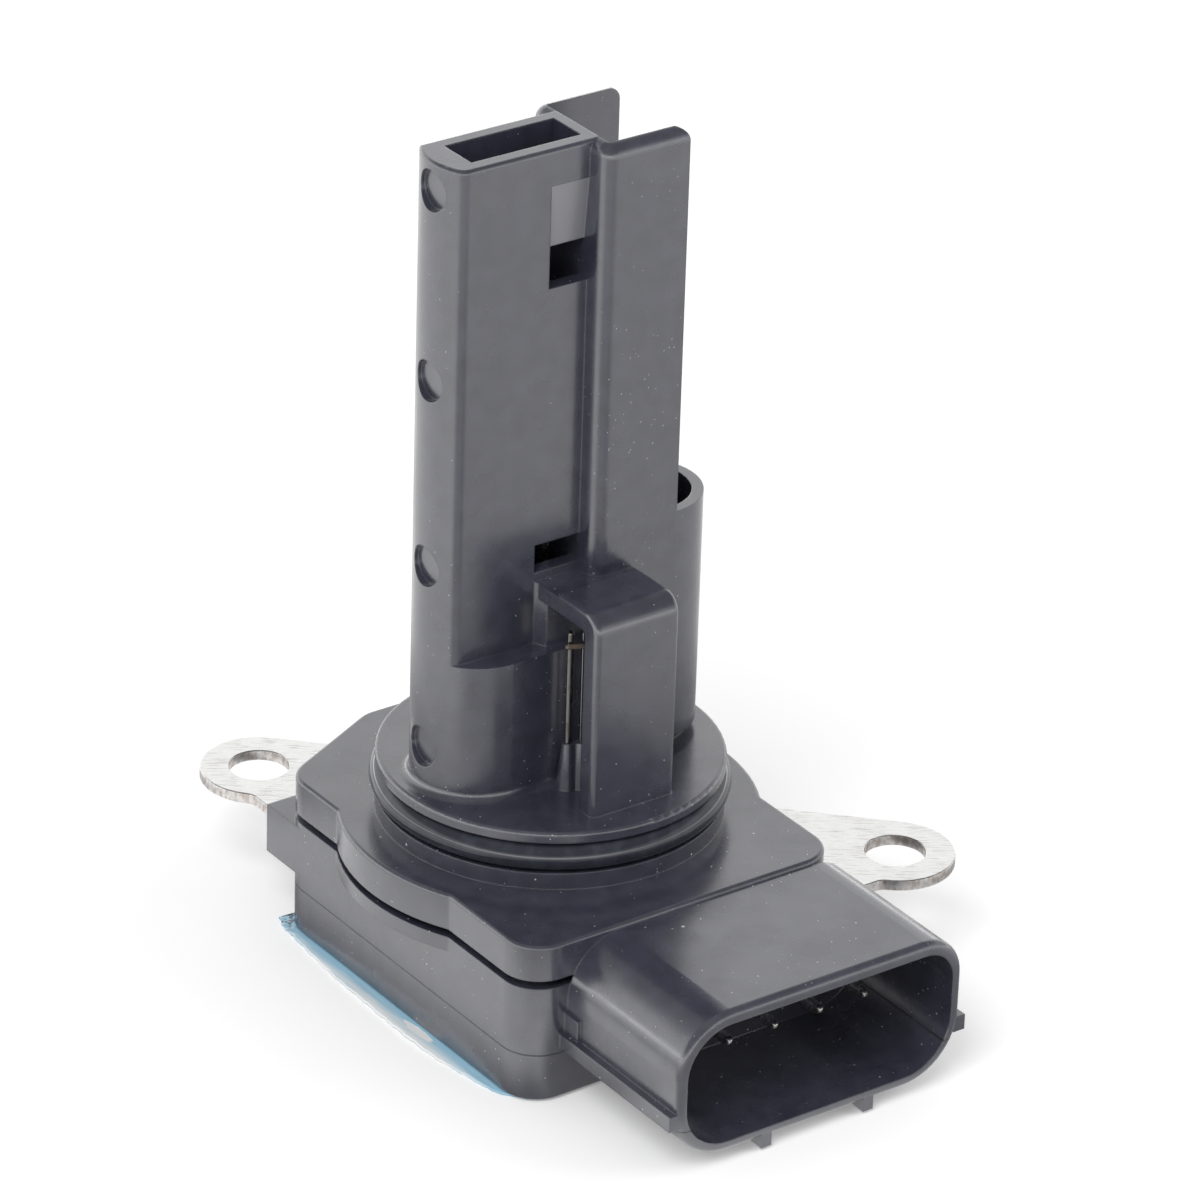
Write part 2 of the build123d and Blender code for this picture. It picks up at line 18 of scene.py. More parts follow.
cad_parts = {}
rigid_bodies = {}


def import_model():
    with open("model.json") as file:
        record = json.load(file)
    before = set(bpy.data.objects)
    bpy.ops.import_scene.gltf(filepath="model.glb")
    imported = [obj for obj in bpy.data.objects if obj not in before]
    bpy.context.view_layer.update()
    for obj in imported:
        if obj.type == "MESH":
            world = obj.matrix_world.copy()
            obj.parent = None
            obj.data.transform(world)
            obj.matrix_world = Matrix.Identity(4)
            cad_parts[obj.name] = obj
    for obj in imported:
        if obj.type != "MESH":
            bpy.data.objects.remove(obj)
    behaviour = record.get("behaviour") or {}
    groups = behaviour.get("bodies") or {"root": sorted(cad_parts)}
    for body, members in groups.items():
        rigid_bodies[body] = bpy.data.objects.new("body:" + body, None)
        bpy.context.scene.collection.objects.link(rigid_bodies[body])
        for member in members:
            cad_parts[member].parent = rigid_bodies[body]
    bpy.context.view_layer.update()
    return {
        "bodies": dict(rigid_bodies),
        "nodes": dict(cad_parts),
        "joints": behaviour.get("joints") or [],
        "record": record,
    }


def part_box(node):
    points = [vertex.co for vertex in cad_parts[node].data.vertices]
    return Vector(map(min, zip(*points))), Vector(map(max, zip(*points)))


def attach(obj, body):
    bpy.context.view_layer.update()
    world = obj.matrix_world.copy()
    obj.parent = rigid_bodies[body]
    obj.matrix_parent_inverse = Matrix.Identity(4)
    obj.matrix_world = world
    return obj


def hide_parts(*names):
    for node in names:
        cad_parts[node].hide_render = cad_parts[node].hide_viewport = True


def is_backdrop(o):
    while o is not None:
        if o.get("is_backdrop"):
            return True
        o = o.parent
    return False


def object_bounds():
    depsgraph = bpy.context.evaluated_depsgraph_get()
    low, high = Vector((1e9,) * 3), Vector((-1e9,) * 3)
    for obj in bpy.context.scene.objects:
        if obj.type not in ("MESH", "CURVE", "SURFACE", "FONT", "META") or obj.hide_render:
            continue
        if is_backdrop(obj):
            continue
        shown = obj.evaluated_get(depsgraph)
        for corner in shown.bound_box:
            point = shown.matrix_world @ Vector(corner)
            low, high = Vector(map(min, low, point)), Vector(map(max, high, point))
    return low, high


LOG = logging.getLogger("airflow_sensor")
MM = 0.001
FULL_TURN = 2 * math.pi
ROOT = "root"
COVER_SIDE_MM = -14.24
SMOOTH = {"interpolation_type": "SMOOTHSTEP"}
COLOURS = {"data_type": "RGBA"}

Tree = bpy.types.NodeTree
Node = bpy.types.Node
Socket = bpy.types.NodeSocket


class Slot(Enum):
    """The record's material slots."""

    PLATE = "plate_steel"
    SEAL = "seal_rubber"
    FILM = "label_blue_film"
    TERMINAL = "terminal_tin"
    ELEMENT = "element_glaze"
    LEAD = "lead_metal"
    BEAD = "bead_glass"


def to_linear(code: str) -> tuple[float, float, float, float]:
    """Turns an sRGB hex colour into linear light.

    Args:
        code: six hex digits, with or without a leading hash.

    Returns:
        Red, green, blue and an alpha of one.
    """
    digits = code.lstrip("#")
    parts = [int(digits[i : i + 2], 16) / 255 for i in (0, 2, 4)]
    light = [c / 12.92 if c <= 0.04045 else ((c + 0.055) / 1.055) ** 2.4 for c in parts]
    return light[0], light[1], light[2], 1.0


def in_metres(*lengths_mm: float) -> tuple[float, ...]:
    """Turns millimetres into metres."""
    return tuple(length * MM for length in lengths_mm)


def per_metre(size_mm: float) -> float:
    """How many lumps of one size fit in a metre, which is the scale of a texture that has them."""
    return 1 / (size_mm * MM)


def add_node(tree: Tree, kind: str, settings: dict | str | None = None, *values, **named) -> Node:
    """Adds one node with its settings and links.

    A value for an input is a number, a vector, a hex colour, an output socket to link, or a node to
    link by the first output that its settings leave in use.

    Args:
        tree: the node tree.
        kind: the node's type name without the leading "ShaderNode".
        settings: the node's operation, or attributes by name.
        *values: values for the inputs that the settings leave in use, in their order.
        **named: values for inputs by name, with spaces as underscores.

    Returns:
        The new node.
    """
    node = tree.nodes.new("ShaderNode" + kind)
    attributes = {"operation": settings} if isinstance(settings, str) else settings or {}
    for key, value in attributes.items():
        setattr(node, key, value)
    in_use = [socket for socket in node.inputs if socket.enabled]
    by_name = [(node.inputs[key.replace("_", " ")], value) for key, value in named.items()]
    for socket, value in [*zip(in_use, values), *by_name]:
        if isinstance(value, Node):
            value = next(output for output in value.outputs if output.enabled)
        if isinstance(value, Socket):
            tree.links.new(value, socket)
        else:
            socket.default_value = to_linear(value) if isinstance(value, str) else value
    return node


def new_material(name: str) -> tuple[bpy.types.Material, Tree, Socket]:
    """Starts an empty node material.

    Args:
        name: the material's name.

    Returns:
        The material, its node tree, and the Object coordinates.
    """
    material = bpy.data.materials.new(name)
    material.use_nodes = True
    tree = material.node_tree
    tree.nodes.clear()
    return material, tree, add_node(tree, "TexCoord").outputs["Object"]


def specks(tree: Tree, place: Socket, spacing_mm: float, radius_mm: float, share: float) -> Node:
    """Round dots scattered on a surface.

    A cell holds a dot if its first random number is under the share, and its second one times the
    largest radius is the dot's own. A dot's rim is soft over a quarter of the largest radius.

    Args:
        tree: the node tree.
        place: where to read the pattern.
        spacing_mm: mean distance between the cells that may hold a dot.
        radius_mm: a dot's largest radius.
        share: share of the cells that hold a dot.

    Returns:
        One inside a dot and zero elsewhere.
    """
    largest = radius_mm / spacing_mm
    cells = add_node(tree, "TexVoronoi", {"feature": "F1"}, Vector=place, Scale=per_metre(spacing_mm))
    chance, size, _ = add_node(tree, "SeparateColor", None, cells.outputs["Color"]).outputs
    kept = add_node(tree, "Math", "LESS_THAN", chance, share)
    radius = add_node(tree, "Math", "MULTIPLY", size, largest)
    inside = add_node(tree, "Math", "SUBTRACT", radius, cells.outputs["Distance"])
    dot = add_node(tree, "MapRange", SMOOTH, inside, 0.0, 0.25 * largest)
    return add_node(tree, "Math", "MULTIPLY", dot, kept)


@dataclass(frozen=True)
class MouldedPlastic:
    """Injection-moulded glass-filled polyester, which shines like satin and mirrors what is near.

    The skin copies a polished mould, so reflections stay readable. The glass gives faint grey
    mottling, and handling leaves pale dust. Pairs named _range are the low and high end of
    a smooth step in a noise, and pairs named specks give a spacing and a largest radius.
    """

    name: str
    dark: str = "#31323e"
    light: str = "#3b3c49"
    mottle_mm: float = 1.6
    mottle_range: tuple[float, float] = (0.3, 0.7)
    grain_mm: float = 0.2
    grain_strength: float = 0.22
    grain_height_mm: float = 0.02
    edge_radius_mm: float = 0.18
    roughness: float = 0.25
    smear_mm: float = 5.0
    smear_range: tuple[float, float] = (0.35, 0.7)
    smear_effect: tuple[float, float] = (-0.03, 0.05)
    dust: str = "#d9d9dc"
    dust_opacity: float = 0.85
    dust_roughness: float = 0.5
    dust_share: float = 0.9
    fine_specks_mm: tuple[float, float] = (0.6, 0.075)
    coarse_specks_mm: tuple[float, float] = (2.0, 0.15)
    coarse_share: float = 0.7
    dust_patch_mm: float = 7.0
    dust_patch_range: tuple[float, float] = (0.36, 0.55)
    dust_fades_mm: tuple[float, float] = (5.0, 12.0)
    dust_high: float = 0.4
    # Near-black line along the joint between housing and cover: painted shadow in the gap.
    seam_shadow: str = "#060608"
    seam_z_mm: float = -4.77
    seam_half_mm: float = 0.09
    seam_patch_mm: float = 6.0
    seam_patch_range: tuple[float, float] = (0.3, 0.5)
    seam_thinnest: float = 0.35
    # Lighter grey for the slope above the upper window: painted light.
    slope_light: str = "#74747b"
    matt_roughness: float = 0.2
    matt_centre_mm: tuple[float, float, float] = (-1.75, -2.6, 54.75)
    matt_half_mm: tuple[float, float, float] = (1.65, 0.6, 2.45)

    def dust_shade(self, tree: Tree, place: Socket) -> Node:
        """Marks the dust: fine and coarse specks that lie in patches and are fainter up the probe.

        Args:
            tree: the node tree.
            place: the Object coordinates.

        Returns:
            One in a speck of dust and zero elsewhere.
        """
        fine = specks(tree, place, *self.fine_specks_mm, self.dust_share)
        coarse = specks(tree, place, *self.coarse_specks_mm, self.coarse_share * self.dust_share)
        cloud = add_node(tree, "TexNoise", None, Vector=place, Scale=per_metre(self.dust_patch_mm),
                         Detail=1.0)
        patches = add_node(tree, "MapRange", SMOOTH, cloud, *self.dust_patch_range)
        height = add_node(tree, "SeparateXYZ", None, place).outputs["Z"]
        fading = add_node(tree, "MapRange", SMOOTH, height, *in_metres(*self.dust_fades_mm), 1.0,
                          self.dust_high)
        settled = add_node(tree, "Math", "MULTIPLY", patches, fading)
        return add_node(tree, "Math", "MULTIPLY", add_node(tree, "Math", "MAXIMUM", fine, coarse), settled)

    def seam_shadow_mask(self, tree: Tree, place: Socket) -> Node:
        """Marks the painted shadow in the joint between housing and cover, a line at one height that fades in
        places.

        Args:
            tree: the node tree.
            place: the Object coordinates.

        Returns:
            One on the line and zero elsewhere.
        """
        height = add_node(tree, "SeparateXYZ", None, place).outputs["Z"]
        above = add_node(tree, "Math", "SUBTRACT", height, self.seam_z_mm * MM)
        off = add_node(tree, "Math", "ABSOLUTE", above)
        half = self.seam_half_mm * MM
        line = add_node(tree, "MapRange", SMOOTH, off, 0.5 * half, half, 1.0, 0.0)
        cloud = add_node(tree, "TexNoise", None, Vector=place, Scale=per_metre(self.seam_patch_mm),
                         Detail=2.0)
        fade = add_node(tree, "MapRange", SMOOTH, cloud, *self.seam_patch_range, self.seam_thinnest, 1.0)
        return add_node(tree, "Math", "MULTIPLY", line, fade)

    def matt_lit_slope_patch(self, tree: Tree, place: Socket) -> Node:
        """Marks the slope above the upper window, which the mould left rougher and which is painted a
        lighter grey as painted light: a box round its middle.

        A point is inside where the largest of its offsets, each over the box's half size, is under one.

        Args:
            tree: the node tree.
            place: the Object coordinates.

        Returns:
            One inside the box and zero elsewhere.
        """
        off = add_node(tree, "VectorMath", "SUBTRACT", place, in_metres(*self.matt_centre_mm))
        scaled = add_node(tree, "VectorMath", "DIVIDE", off, in_metres(*self.matt_half_mm))
        plain = add_node(tree, "VectorMath", "ABSOLUTE", scaled)
        x, y, z = add_node(tree, "SeparateXYZ", None, plain).outputs
        most = add_node(tree, "Math", "MAXIMUM", add_node(tree, "Math", "MAXIMUM", x, y), z)
        return add_node(tree, "Math", "LESS_THAN", most, 1.0)

    def build(self) -> bpy.types.Material:
        """Builds the material.

        Returns:
            The material.
        """
        material, tree, place = new_material(self.name)
        dust, joint = self.dust_shade(tree, place), self.seam_shadow_mask(tree, place)
        slope = self.matt_lit_slope_patch(tree, place)
        cloud = add_node(tree, "TexNoise", None, Vector=place, Scale=per_metre(self.mottle_mm), Detail=4.0)
        mottle = add_node(tree, "MapRange", SMOOTH, cloud, *self.mottle_range)
        colour = add_node(tree, "Mix", COLOURS, mottle, self.dark, self.light)
        cover = add_node(tree, "Math", "MULTIPLY", dust, self.dust_opacity)
        # The slope's lighter grey is painted light, and the joint's dark line is painted shadow.
        for shade, tint in ((cover, self.dust), (joint, self.seam_shadow), (slope, self.slope_light)):
            colour = add_node(tree, "Mix", COLOURS, shade, colour, tint)
        smear = add_node(tree, "TexNoise", None, Vector=place, Scale=per_metre(self.smear_mm), Detail=3.0)
        least, most = (self.roughness + effect for effect in self.smear_effect)
        rough = add_node(tree, "MapRange", SMOOTH, smear, *self.smear_range, least, most)
        # The painted shadow in the joint is made as rough as the dust.
        dust_and_seam_shadow = add_node(tree, "Math", "MAXIMUM", dust, joint)
        for shade, effect in ((dust_and_seam_shadow, self.dust_roughness), (slope, self.matt_roughness)):
            rough = add_node(tree, "Math", "ADD", rough, add_node(tree, "Math", "MULTIPLY", shade, effect))
        rounded = add_node(tree, "Bevel", {"samples": 4}, Radius=self.edge_radius_mm * MM)
        grain = add_node(tree, "TexNoise", None, Vector=place, Scale=per_metre(self.grain_mm), Detail=2.0)
        bump = add_node(tree, "Bump", None, Height=grain, Strength=self.grain_strength,
                        Distance=self.grain_height_mm * MM, Normal=rounded)
        shader = add_node(tree, "BsdfPrincipled", None, Base_Color=colour, Roughness=rough, IOR=1.75,
                          Specular_IOR_Level=1.0, Coat_Weight=0.6, Coat_Roughness=0.17, Coat_IOR=1.6,
                          Normal=bump)
        add_node(tree, "OutputMaterial", None, shader)
        return material


@dataclass(frozen=True)
class RolledSteel:
    """Zinc-plated rolled sheet, bright with a fine one-way grain; its stamped edges are dull and brownish."""

    name: str = "stamped_plated_sheet"
    bright: str = "#fefefd"
    dull: str = "#d9d7d4"
    edge: str = "#d3c8c0"
    sheared: str = "#f4f1ef"
    grain_mm: float = 0.16
    grain_length: float = 12.0
    grain_turn: float = -36.0
    grain_share: float = 0.75
    cloud_mm: float = 2.2
    tone_range: tuple[float, float] = (0.36, 0.5)
    upright_range: tuple[float, float] = (0.35, 0.8)
    tear_mm: float = 0.4
    tear_length: float = 2.0
    tear_range: tuple[float, float] = (0.35, 0.6)
    streak_range: tuple[float, float] = (0.3, 0.7)
    roughness: tuple[float, float] = (0.2, 0.3)
    edge_roughness: float = 0.2

    def build(self) -> bpy.types.Material:
        """Builds the material.

        Returns:
            The material.
        """
        material, tree, place = new_material(self.name)
        turn = math.radians(self.grain_turn)
        along = add_node(tree, "Mapping", {"vector_type": "TEXTURE"}, Vector=place,
                         Scale=(self.grain_length, 1.0, 1.0), Rotation=(0.0, 0.0, turn))
        streak = add_node(tree, "TexNoise", None, Vector=along, Scale=per_metre(self.grain_mm), Detail=3.0)
        cloud = add_node(tree, "TexNoise", None, Vector=place, Scale=per_metre(self.cloud_mm), Detail=3.0)
        mixed = add_node(tree, "Math", "ADD", add_node(tree, "Math", "MULTIPLY", streak, self.grain_share),
                         add_node(tree, "Math", "MULTIPLY", cloud, 1 - self.grain_share))
        tone = add_node(tree, "MapRange", SMOOTH, mixed, *self.tone_range)
        face = add_node(tree, "Mix", COLOURS, tone, self.dull, self.bright)
        normal = add_node(tree, "SeparateXYZ", None, add_node(tree, "NewGeometry").outputs["Normal"])
        level = add_node(tree, "Math", "ABSOLUTE", normal.outputs["Z"])
        upright = add_node(tree, "MapRange", SMOOTH, level, *self.upright_range, 1.0, 0.0)
        tall = add_node(tree, "Mapping", {"vector_type": "TEXTURE"}, Vector=place,
                        Scale=(1.0, 1.0, self.tear_length))
        tear = add_node(tree, "TexNoise", None, Vector=tall, Scale=per_metre(self.tear_mm), Detail=3.0)
        torn = add_node(tree, "MapRange", SMOOTH, tear, *self.tear_range)
        worn_edge = add_node(tree, "Mix", COLOURS, torn, self.edge, self.sheared)
        colour = add_node(tree, "Mix", COLOURS, upright, face, worn_edge)
        brushed = add_node(tree, "MapRange", SMOOTH, streak, *self.streak_range, *self.roughness)
        rough = add_node(tree, "Math", "ADD", brushed,
                         add_node(tree, "Math", "MULTIPLY", upright, self.edge_roughness))
        bump = add_node(tree, "Bump", None, Height=streak, Strength=0.16, Distance=0.02 * MM)
        shader = add_node(tree, "BsdfPrincipled", None, Base_Color=colour, Metallic=1.0, Roughness=rough,
                          Normal=bump)
        add_node(tree, "OutputMaterial", None, shader)
        return material


@dataclass(frozen=True)
class SealRubber:
    """Lubricated nitrile rubber: nearly black, with thin hard highlights."""

    name: str = "moulded_nitrile_rubber"
    base: str = "#2b2d35"
    worn: str = "#383a43"
    cloud_mm: float = 1.5
    worn_range: tuple[float, float] = (0.4, 0.7)
    smear_range: tuple[float, float] = (0.35, 0.7)
    roughness: tuple[float, float] = (0.06, 0.13)
    grain_mm: float = 0.25

    def build(self) -> bpy.types.Material:
        """Builds the material.

        Returns:
            The material.
        """
        material, tree, place = new_material(self.name)
        cloud = add_node(tree, "TexNoise", None, Vector=place, Scale=per_metre(self.cloud_mm), Detail=3.0)
        worn = add_node(tree, "MapRange", SMOOTH, cloud, *self.worn_range)
        colour = add_node(tree, "Mix", COLOURS, worn, self.base, self.worn)
        rough = add_node(tree, "MapRange", SMOOTH, cloud, *self.smear_range, *self.roughness)
        grain = add_node(tree, "TexNoise", None, Vector=place, Scale=per_metre(self.grain_mm), Detail=2.0)
        bump = add_node(tree, "Bump", None, Height=grain, Strength=0.03, Distance=0.02 * MM)
        shader = add_node(tree, "BsdfPrincipled", None, Base_Color=colour, Roughness=rough, IOR=1.52,
                          Coat_Weight=0.5, Coat_Roughness=0.06, Normal=bump)
        add_node(tree, "OutputMaterial", None, shader)
        return material


@dataclass(frozen=True)
class PlatedMetal:
    """Drawn or stamped metal with a thin bright plating and a slight warm tint where it wore."""

    name: str
    bright: str = "#e4e3df"
    worn: str = "#b6a58f"
    patch_mm: float = 0.7
    worn_range: tuple[float, float] = (0.5, 0.75)
    smear_range: tuple[float, float] = (0.3, 0.7)
    roughness: float = 0.22
    smear_effect: float = 0.12
    draw_mm: float = 0.08
    draw_length: float = 10.0

    def build(self) -> bpy.types.Material:
        """Builds the material. Its drawing lines run along Z.

        Returns:
            The material.
        """
        material, tree, place = new_material(self.name)
        cloud = add_node(tree, "TexNoise", None, Vector=place, Scale=per_metre(self.patch_mm), Detail=3.0)
        worn = add_node(tree, "MapRange", SMOOTH, cloud, *self.worn_range)
        colour = add_node(tree, "Mix", COLOURS, worn, self.bright, self.worn)
        rough = add_node(tree, "MapRange", SMOOTH, cloud, *self.smear_range, self.roughness,
                         self.roughness + self.smear_effect)
        along = add_node(tree, "Mapping", {"vector_type": "TEXTURE"}, Vector=place,
                         Scale=(1.0, 1.0, self.draw_length))
        draw = add_node(tree, "TexNoise", None, Vector=along, Scale=per_metre(self.draw_mm), Detail=2.0)
        bump = add_node(tree, "Bump", None, Height=draw, Strength=0.08, Distance=0.01 * MM)
        shader = add_node(tree, "BsdfPrincipled", None, Base_Color=colour, Metallic=1.0, Roughness=rough,
                          Normal=bump)
        add_node(tree, "OutputMaterial", None, shader)
        return material


@dataclass(frozen=True)
class FiredCeramic:
    """Fired ceramic, film printed on it or moulded epoxy: dense, fine-grained, half glossy."""

    name: str
    base: str
    speck: str
    roughness: float = 0.35
    lump_mm: float = 0.5
    speck_range: tuple[float, float] = (0.45, 0.75)

    def build(self) -> bpy.types.Material:
        """Builds the material.

        Returns:
            The material.
        """
        material, tree, place = new_material(self.name)
        cloud = add_node(tree, "TexNoise", None, Vector=place, Scale=per_metre(self.lump_mm), Detail=4.0)
        lumps = add_node(tree, "MapRange", SMOOTH, cloud, *self.speck_range)
        colour = add_node(tree, "Mix", COLOURS, lumps, self.base, self.speck)
        bump = add_node(tree, "Bump", None, Height=cloud, Strength=0.1, Distance=0.02 * MM)
        shader = add_node(tree, "BsdfPrincipled", None, Base_Color=colour, Roughness=self.roughness, IOR=1.6,
                          Normal=bump)
        add_node(tree, "OutputMaterial", None, shader)
        return material


@dataclass(frozen=True)
class LabelFilm:
    """Printed polyester label film: blue near the cover and paler outwards, with one torn white patch."""

    name: str = "printed_polyester_film"
    inner: str = "#9fcbe2"
    middle: str = "#cfe6f1"
    outer: str = "#fafdfe"
    torn: str = "#f6f8f9"
    # Dark lines in the crumpled corner: painted shade in the film's creases.
    crease_shadow: str = "#4a5d74"
    width_mm: float = 1.6
    inner_range: tuple[float, float] = (0.0, 0.5)
    outer_range: tuple[float, float] = (0.45, 1.0)
    streak_mm: float = 0.35
    streak_length: float = 14.0
    streak_reach_mm: float = 1.3
    patch_centre_mm: tuple[float, float] = (-14.75, -4.4)
    patch_half_mm: tuple[float, float] = (0.45, 2.0)
    patch_range: tuple[float, float] = (0.8, 1.05)
    crumpled_y_mm: tuple[float, float] = (12.2, 14.4)
    crease_mm: float = 0.6
    crease_range: tuple[float, float] = (0.52, 0.6)

    def patch(self, tree: Tree, across: Node, along: Socket) -> Node:
        """Marks the torn patch, an ellipse: the squares of both offsets over its half sizes add to one.

        Args:
            tree: the node tree.
            across: the streaked X.
            along: Y.

        Returns:
            One inside the ellipse and zero elsewhere.
        """
        squares = []
        for place, centre, half in zip((across, along), in_metres(*self.patch_centre_mm),
                                       in_metres(*self.patch_half_mm)):
            off = add_node(tree, "Math", "SUBTRACT", place, centre)
            scaled = add_node(tree, "Math", "DIVIDE", off, half)
            squares.append(add_node(tree, "Math", "MULTIPLY", scaled, scaled))
        reach = add_node(tree, "Math", "ADD", *squares)
        return add_node(tree, "MapRange", SMOOTH, reach, *self.patch_range, 1.0, 0.0)

    def build(self) -> bpy.types.Material:
        """Builds the material.

        The colour runs from inner over middle to outer with the distance from the cover's side, and
        streaks along the edge shift that distance.

        Returns:
            The material.
        """
        material, tree, place = new_material(self.name)
        x, y, _ = add_node(tree, "SeparateXYZ", None, place).outputs
        along = add_node(tree, "Mapping", {"vector_type": "TEXTURE"}, Vector=place,
                         Scale=(1.0, self.streak_length, 1.0))
        streak = add_node(tree, "TexNoise", None, Vector=along, Scale=per_metre(self.streak_mm), Detail=3.0)
        centred = add_node(tree, "Math", "SUBTRACT", streak, 0.5)
        wobble = add_node(tree, "Math", "MULTIPLY", centred, self.streak_reach_mm * MM)
        shifted = add_node(tree, "Math", "ADD", x, wobble)
        edges = in_metres(COVER_SIDE_MM, COVER_SIDE_MM - self.width_mm)
        outward = add_node(tree, "MapRange", SMOOTH, shifted, *edges)
        # Noise lines in the crumpled corner are painted darker: painted shade in the creases.
        crumpled = add_node(tree, "MapRange", SMOOTH, y, *in_metres(*self.crumpled_y_mm))
        folds = add_node(tree, "TexNoise", None, Vector=place, Scale=per_metre(self.crease_mm), Detail=4.0)
        lines = add_node(tree, "MapRange", SMOOTH, folds, *self.crease_range)
        crease_shadows = add_node(tree, "Math", "MULTIPLY", crumpled, lines)
        near = add_node(tree, "MapRange", SMOOTH, outward, *self.inner_range)
        far = add_node(tree, "MapRange", SMOOTH, outward, *self.outer_range)
        torn = self.patch(tree, shifted, y)
        colour = add_node(tree, "Mix", COLOURS, near, self.inner, self.middle)
        for shade, tint in ((far, self.outer), (torn, self.torn), (crease_shadows, self.crease_shadow)):
            colour = add_node(tree, "Mix", COLOURS, shade, colour, tint)
        shader = add_node(tree, "BsdfPrincipled", None, Base_Color=colour, Roughness=0.3, IOR=1.55,
                          Coat_Weight=0.3, Coat_Roughness=0.1)
        add_node(tree, "OutputMaterial", None, shader)
        return material


@dataclass(frozen=True)
class BeadGlass:
    """Leaded glass melted round the sensing chip: smoky brown with a wet shine."""

    name: str = "melted_bead_glass"
    milk: str = "#6d6257"
    amber: str = "#3f342c"
    cloud_mm: float = 0.25
    amber_range: tuple[float, float] = (0.55, 0.8)

    def build(self) -> bpy.types.Material:
        """Builds the material.

        Returns:
            The material.
        """
        material, tree, place = new_material(self.name)
        cloud = add_node(tree, "TexNoise", None, Vector=place, Scale=per_metre(self.cloud_mm), Detail=2.0)
        depth = add_node(tree, "MapRange", SMOOTH, cloud, *self.amber_range)
        colour = add_node(tree, "Mix", COLOURS, depth, self.milk, self.amber)
        shader = add_node(tree, "BsdfPrincipled", None, Base_Color=colour, Roughness=0.08, IOR=1.6,
                          Transmission_Weight=0.2, Coat_Weight=0.4, Coat_Roughness=0.03)
        add_node(tree, "OutputMaterial", None, shader)
        return material


def signed_volume(points: np.ndarray, faces: np.ndarray) -> float:
    """Volume inside quads: the sum of the tetrahedra between each face's two triangles and the origin.

    Args:
        points: the corners.
        faces: four point numbers for each quad.

    Returns:
        The volume, negative if the faces point inwards.
    """
    a, b, c, d = (points[faces[:, i]] for i in range(4))
    first = np.einsum("ij,ij->i", a, np.cross(b, c)).sum()
    second = np.einsum("ij,ij->i", a, np.cross(c, d)).sum()
    return float(first + second) / 6


def skin(name: str, grid: np.ndarray, ring_rows: bool = False) -> bpy.types.Object:
    """Makes a closed smooth piece from a grid of points.

    The grid's columns always run round a closed section. Its rows either close into a ring or end in
    two caps, each a fan of triangles round the middle of its end row.

    Args:
        name: the piece's name.
        grid: points in metres, as rows by columns by three.
        ring_rows: whether the last row joins the first.

    Returns:
        The piece, linked to the scene, with its faces pointing outwards.
    """
    rows, columns = grid.shape[:2]
    points = grid.reshape(-1, 3)
    i = np.arange(rows if ring_rows else rows - 1)[:, None]
    j = np.arange(columns)[None, :]
    after_i, after_j = (i + 1) % rows, (j + 1) % columns
    quads = np.stack([i * columns + j, i * columns + after_j, after_i * columns + after_j,
                      after_i * columns + j], axis=-1).reshape(-1, 4)
    faces = quads.tolist()
    if not ring_rows:
        ends = np.stack([grid[0].mean(axis=0), grid[-1].mean(axis=0)])
        points = np.vstack([points, ends])
        first, last = rows * columns, rows * columns + 1
        step = np.arange(columns)
        onward = (step + 1) % columns
        base = (rows - 1) * columns
        faces += np.stack([onward, step, np.full(columns, first)], axis=-1).tolist()
        faces += np.stack([base + step, base + onward, np.full(columns, last)], axis=-1).tolist()
    if signed_volume(points - points.mean(axis=0), quads) < 0:
        faces = [face[::-1] for face in faces]
    mesh = bpy.data.meshes.new(name)
    mesh.from_pydata(points.tolist(), [], faces)
    mesh.polygons.foreach_set("use_smooth", np.full(len(faces), True))
    mesh.validate()
    mesh.update()
    piece = bpy.data.objects.new(name, mesh)
    bpy.context.scene.collection.objects.link(piece)
    return piece


def dress(piece: bpy.types.Object, material: bpy.types.Material, slot: Slot, *nodes: str) -> bpy.types.Object:
    """Gives a piece its material and ties it to the frame.

    Args:
        piece: the finished piece.
        material: its material.
        slot: the record's slot that the finish stands for. It is not used.
        *nodes: the frame's nodes that the piece stands for.

    Returns:
        The piece.
    """
    piece.data.materials.clear()
    piece.data.materials.append(material)
    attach(piece, ROOT)
    if nodes:
        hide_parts(*nodes)
    LOG.info("%s stands for %s", piece.name, ", ".join(nodes) or "a detail of its own")
    return piece


def keep(frame: dict, node: str, material: bpy.types.Material) -> None:
    """Leaves a node's solid as it is and gives it a better material.

    Args:
        node: the frame's node.
        material: its material.
    """
    data = frame["nodes"][node].data
    if not data.materials:
        data.materials.append(material)
    for index in range(len(data.materials)):
        data.materials[index] = material
    LOG.info("%s keeps its solid", node)


def rounded_section(half_width: np.ndarray, half_height: np.ndarray, power: float, steps: int = 24
                    ) -> tuple[np.ndarray, np.ndarray]:
    """A superellipse at each station: |a/width|^power + |b/height|^power = 1.

    Args:
        half_width: half widths of the stations.
        half_height: half heights of the stations.
        power: how square the corners are.
        steps: points round the section.

    Returns:
        The two coordinates, stations by steps.
    """
    t = np.linspace(0, FULL_TURN, steps, endpoint=False)[None, :]
    c, s = np.cos(t), np.sin(t)
    a = np.sign(c) * np.abs(c) ** (2 / power) * half_width[:, None]
    b = np.sign(s) * np.abs(s) ** (2 / power) * half_height[:, None]
    return a, b


@dataclass
class Housing:
    """The housing and its cover, which keep their solids."""

    frame: dict
    plastic: MouldedPlastic = MouldedPlastic("glass_filled_polyester")
    cover_plastic: MouldedPlastic = MouldedPlastic("glass_filled_polyester_cover", dust_share=0.55)

    def build(self) -> None:
        """Gives the housing and the cover their materials."""
        keep(self.frame, "sensor_housing", self.plastic.build())
        keep(self.frame, "bottom_cover", self.cover_plastic.build())


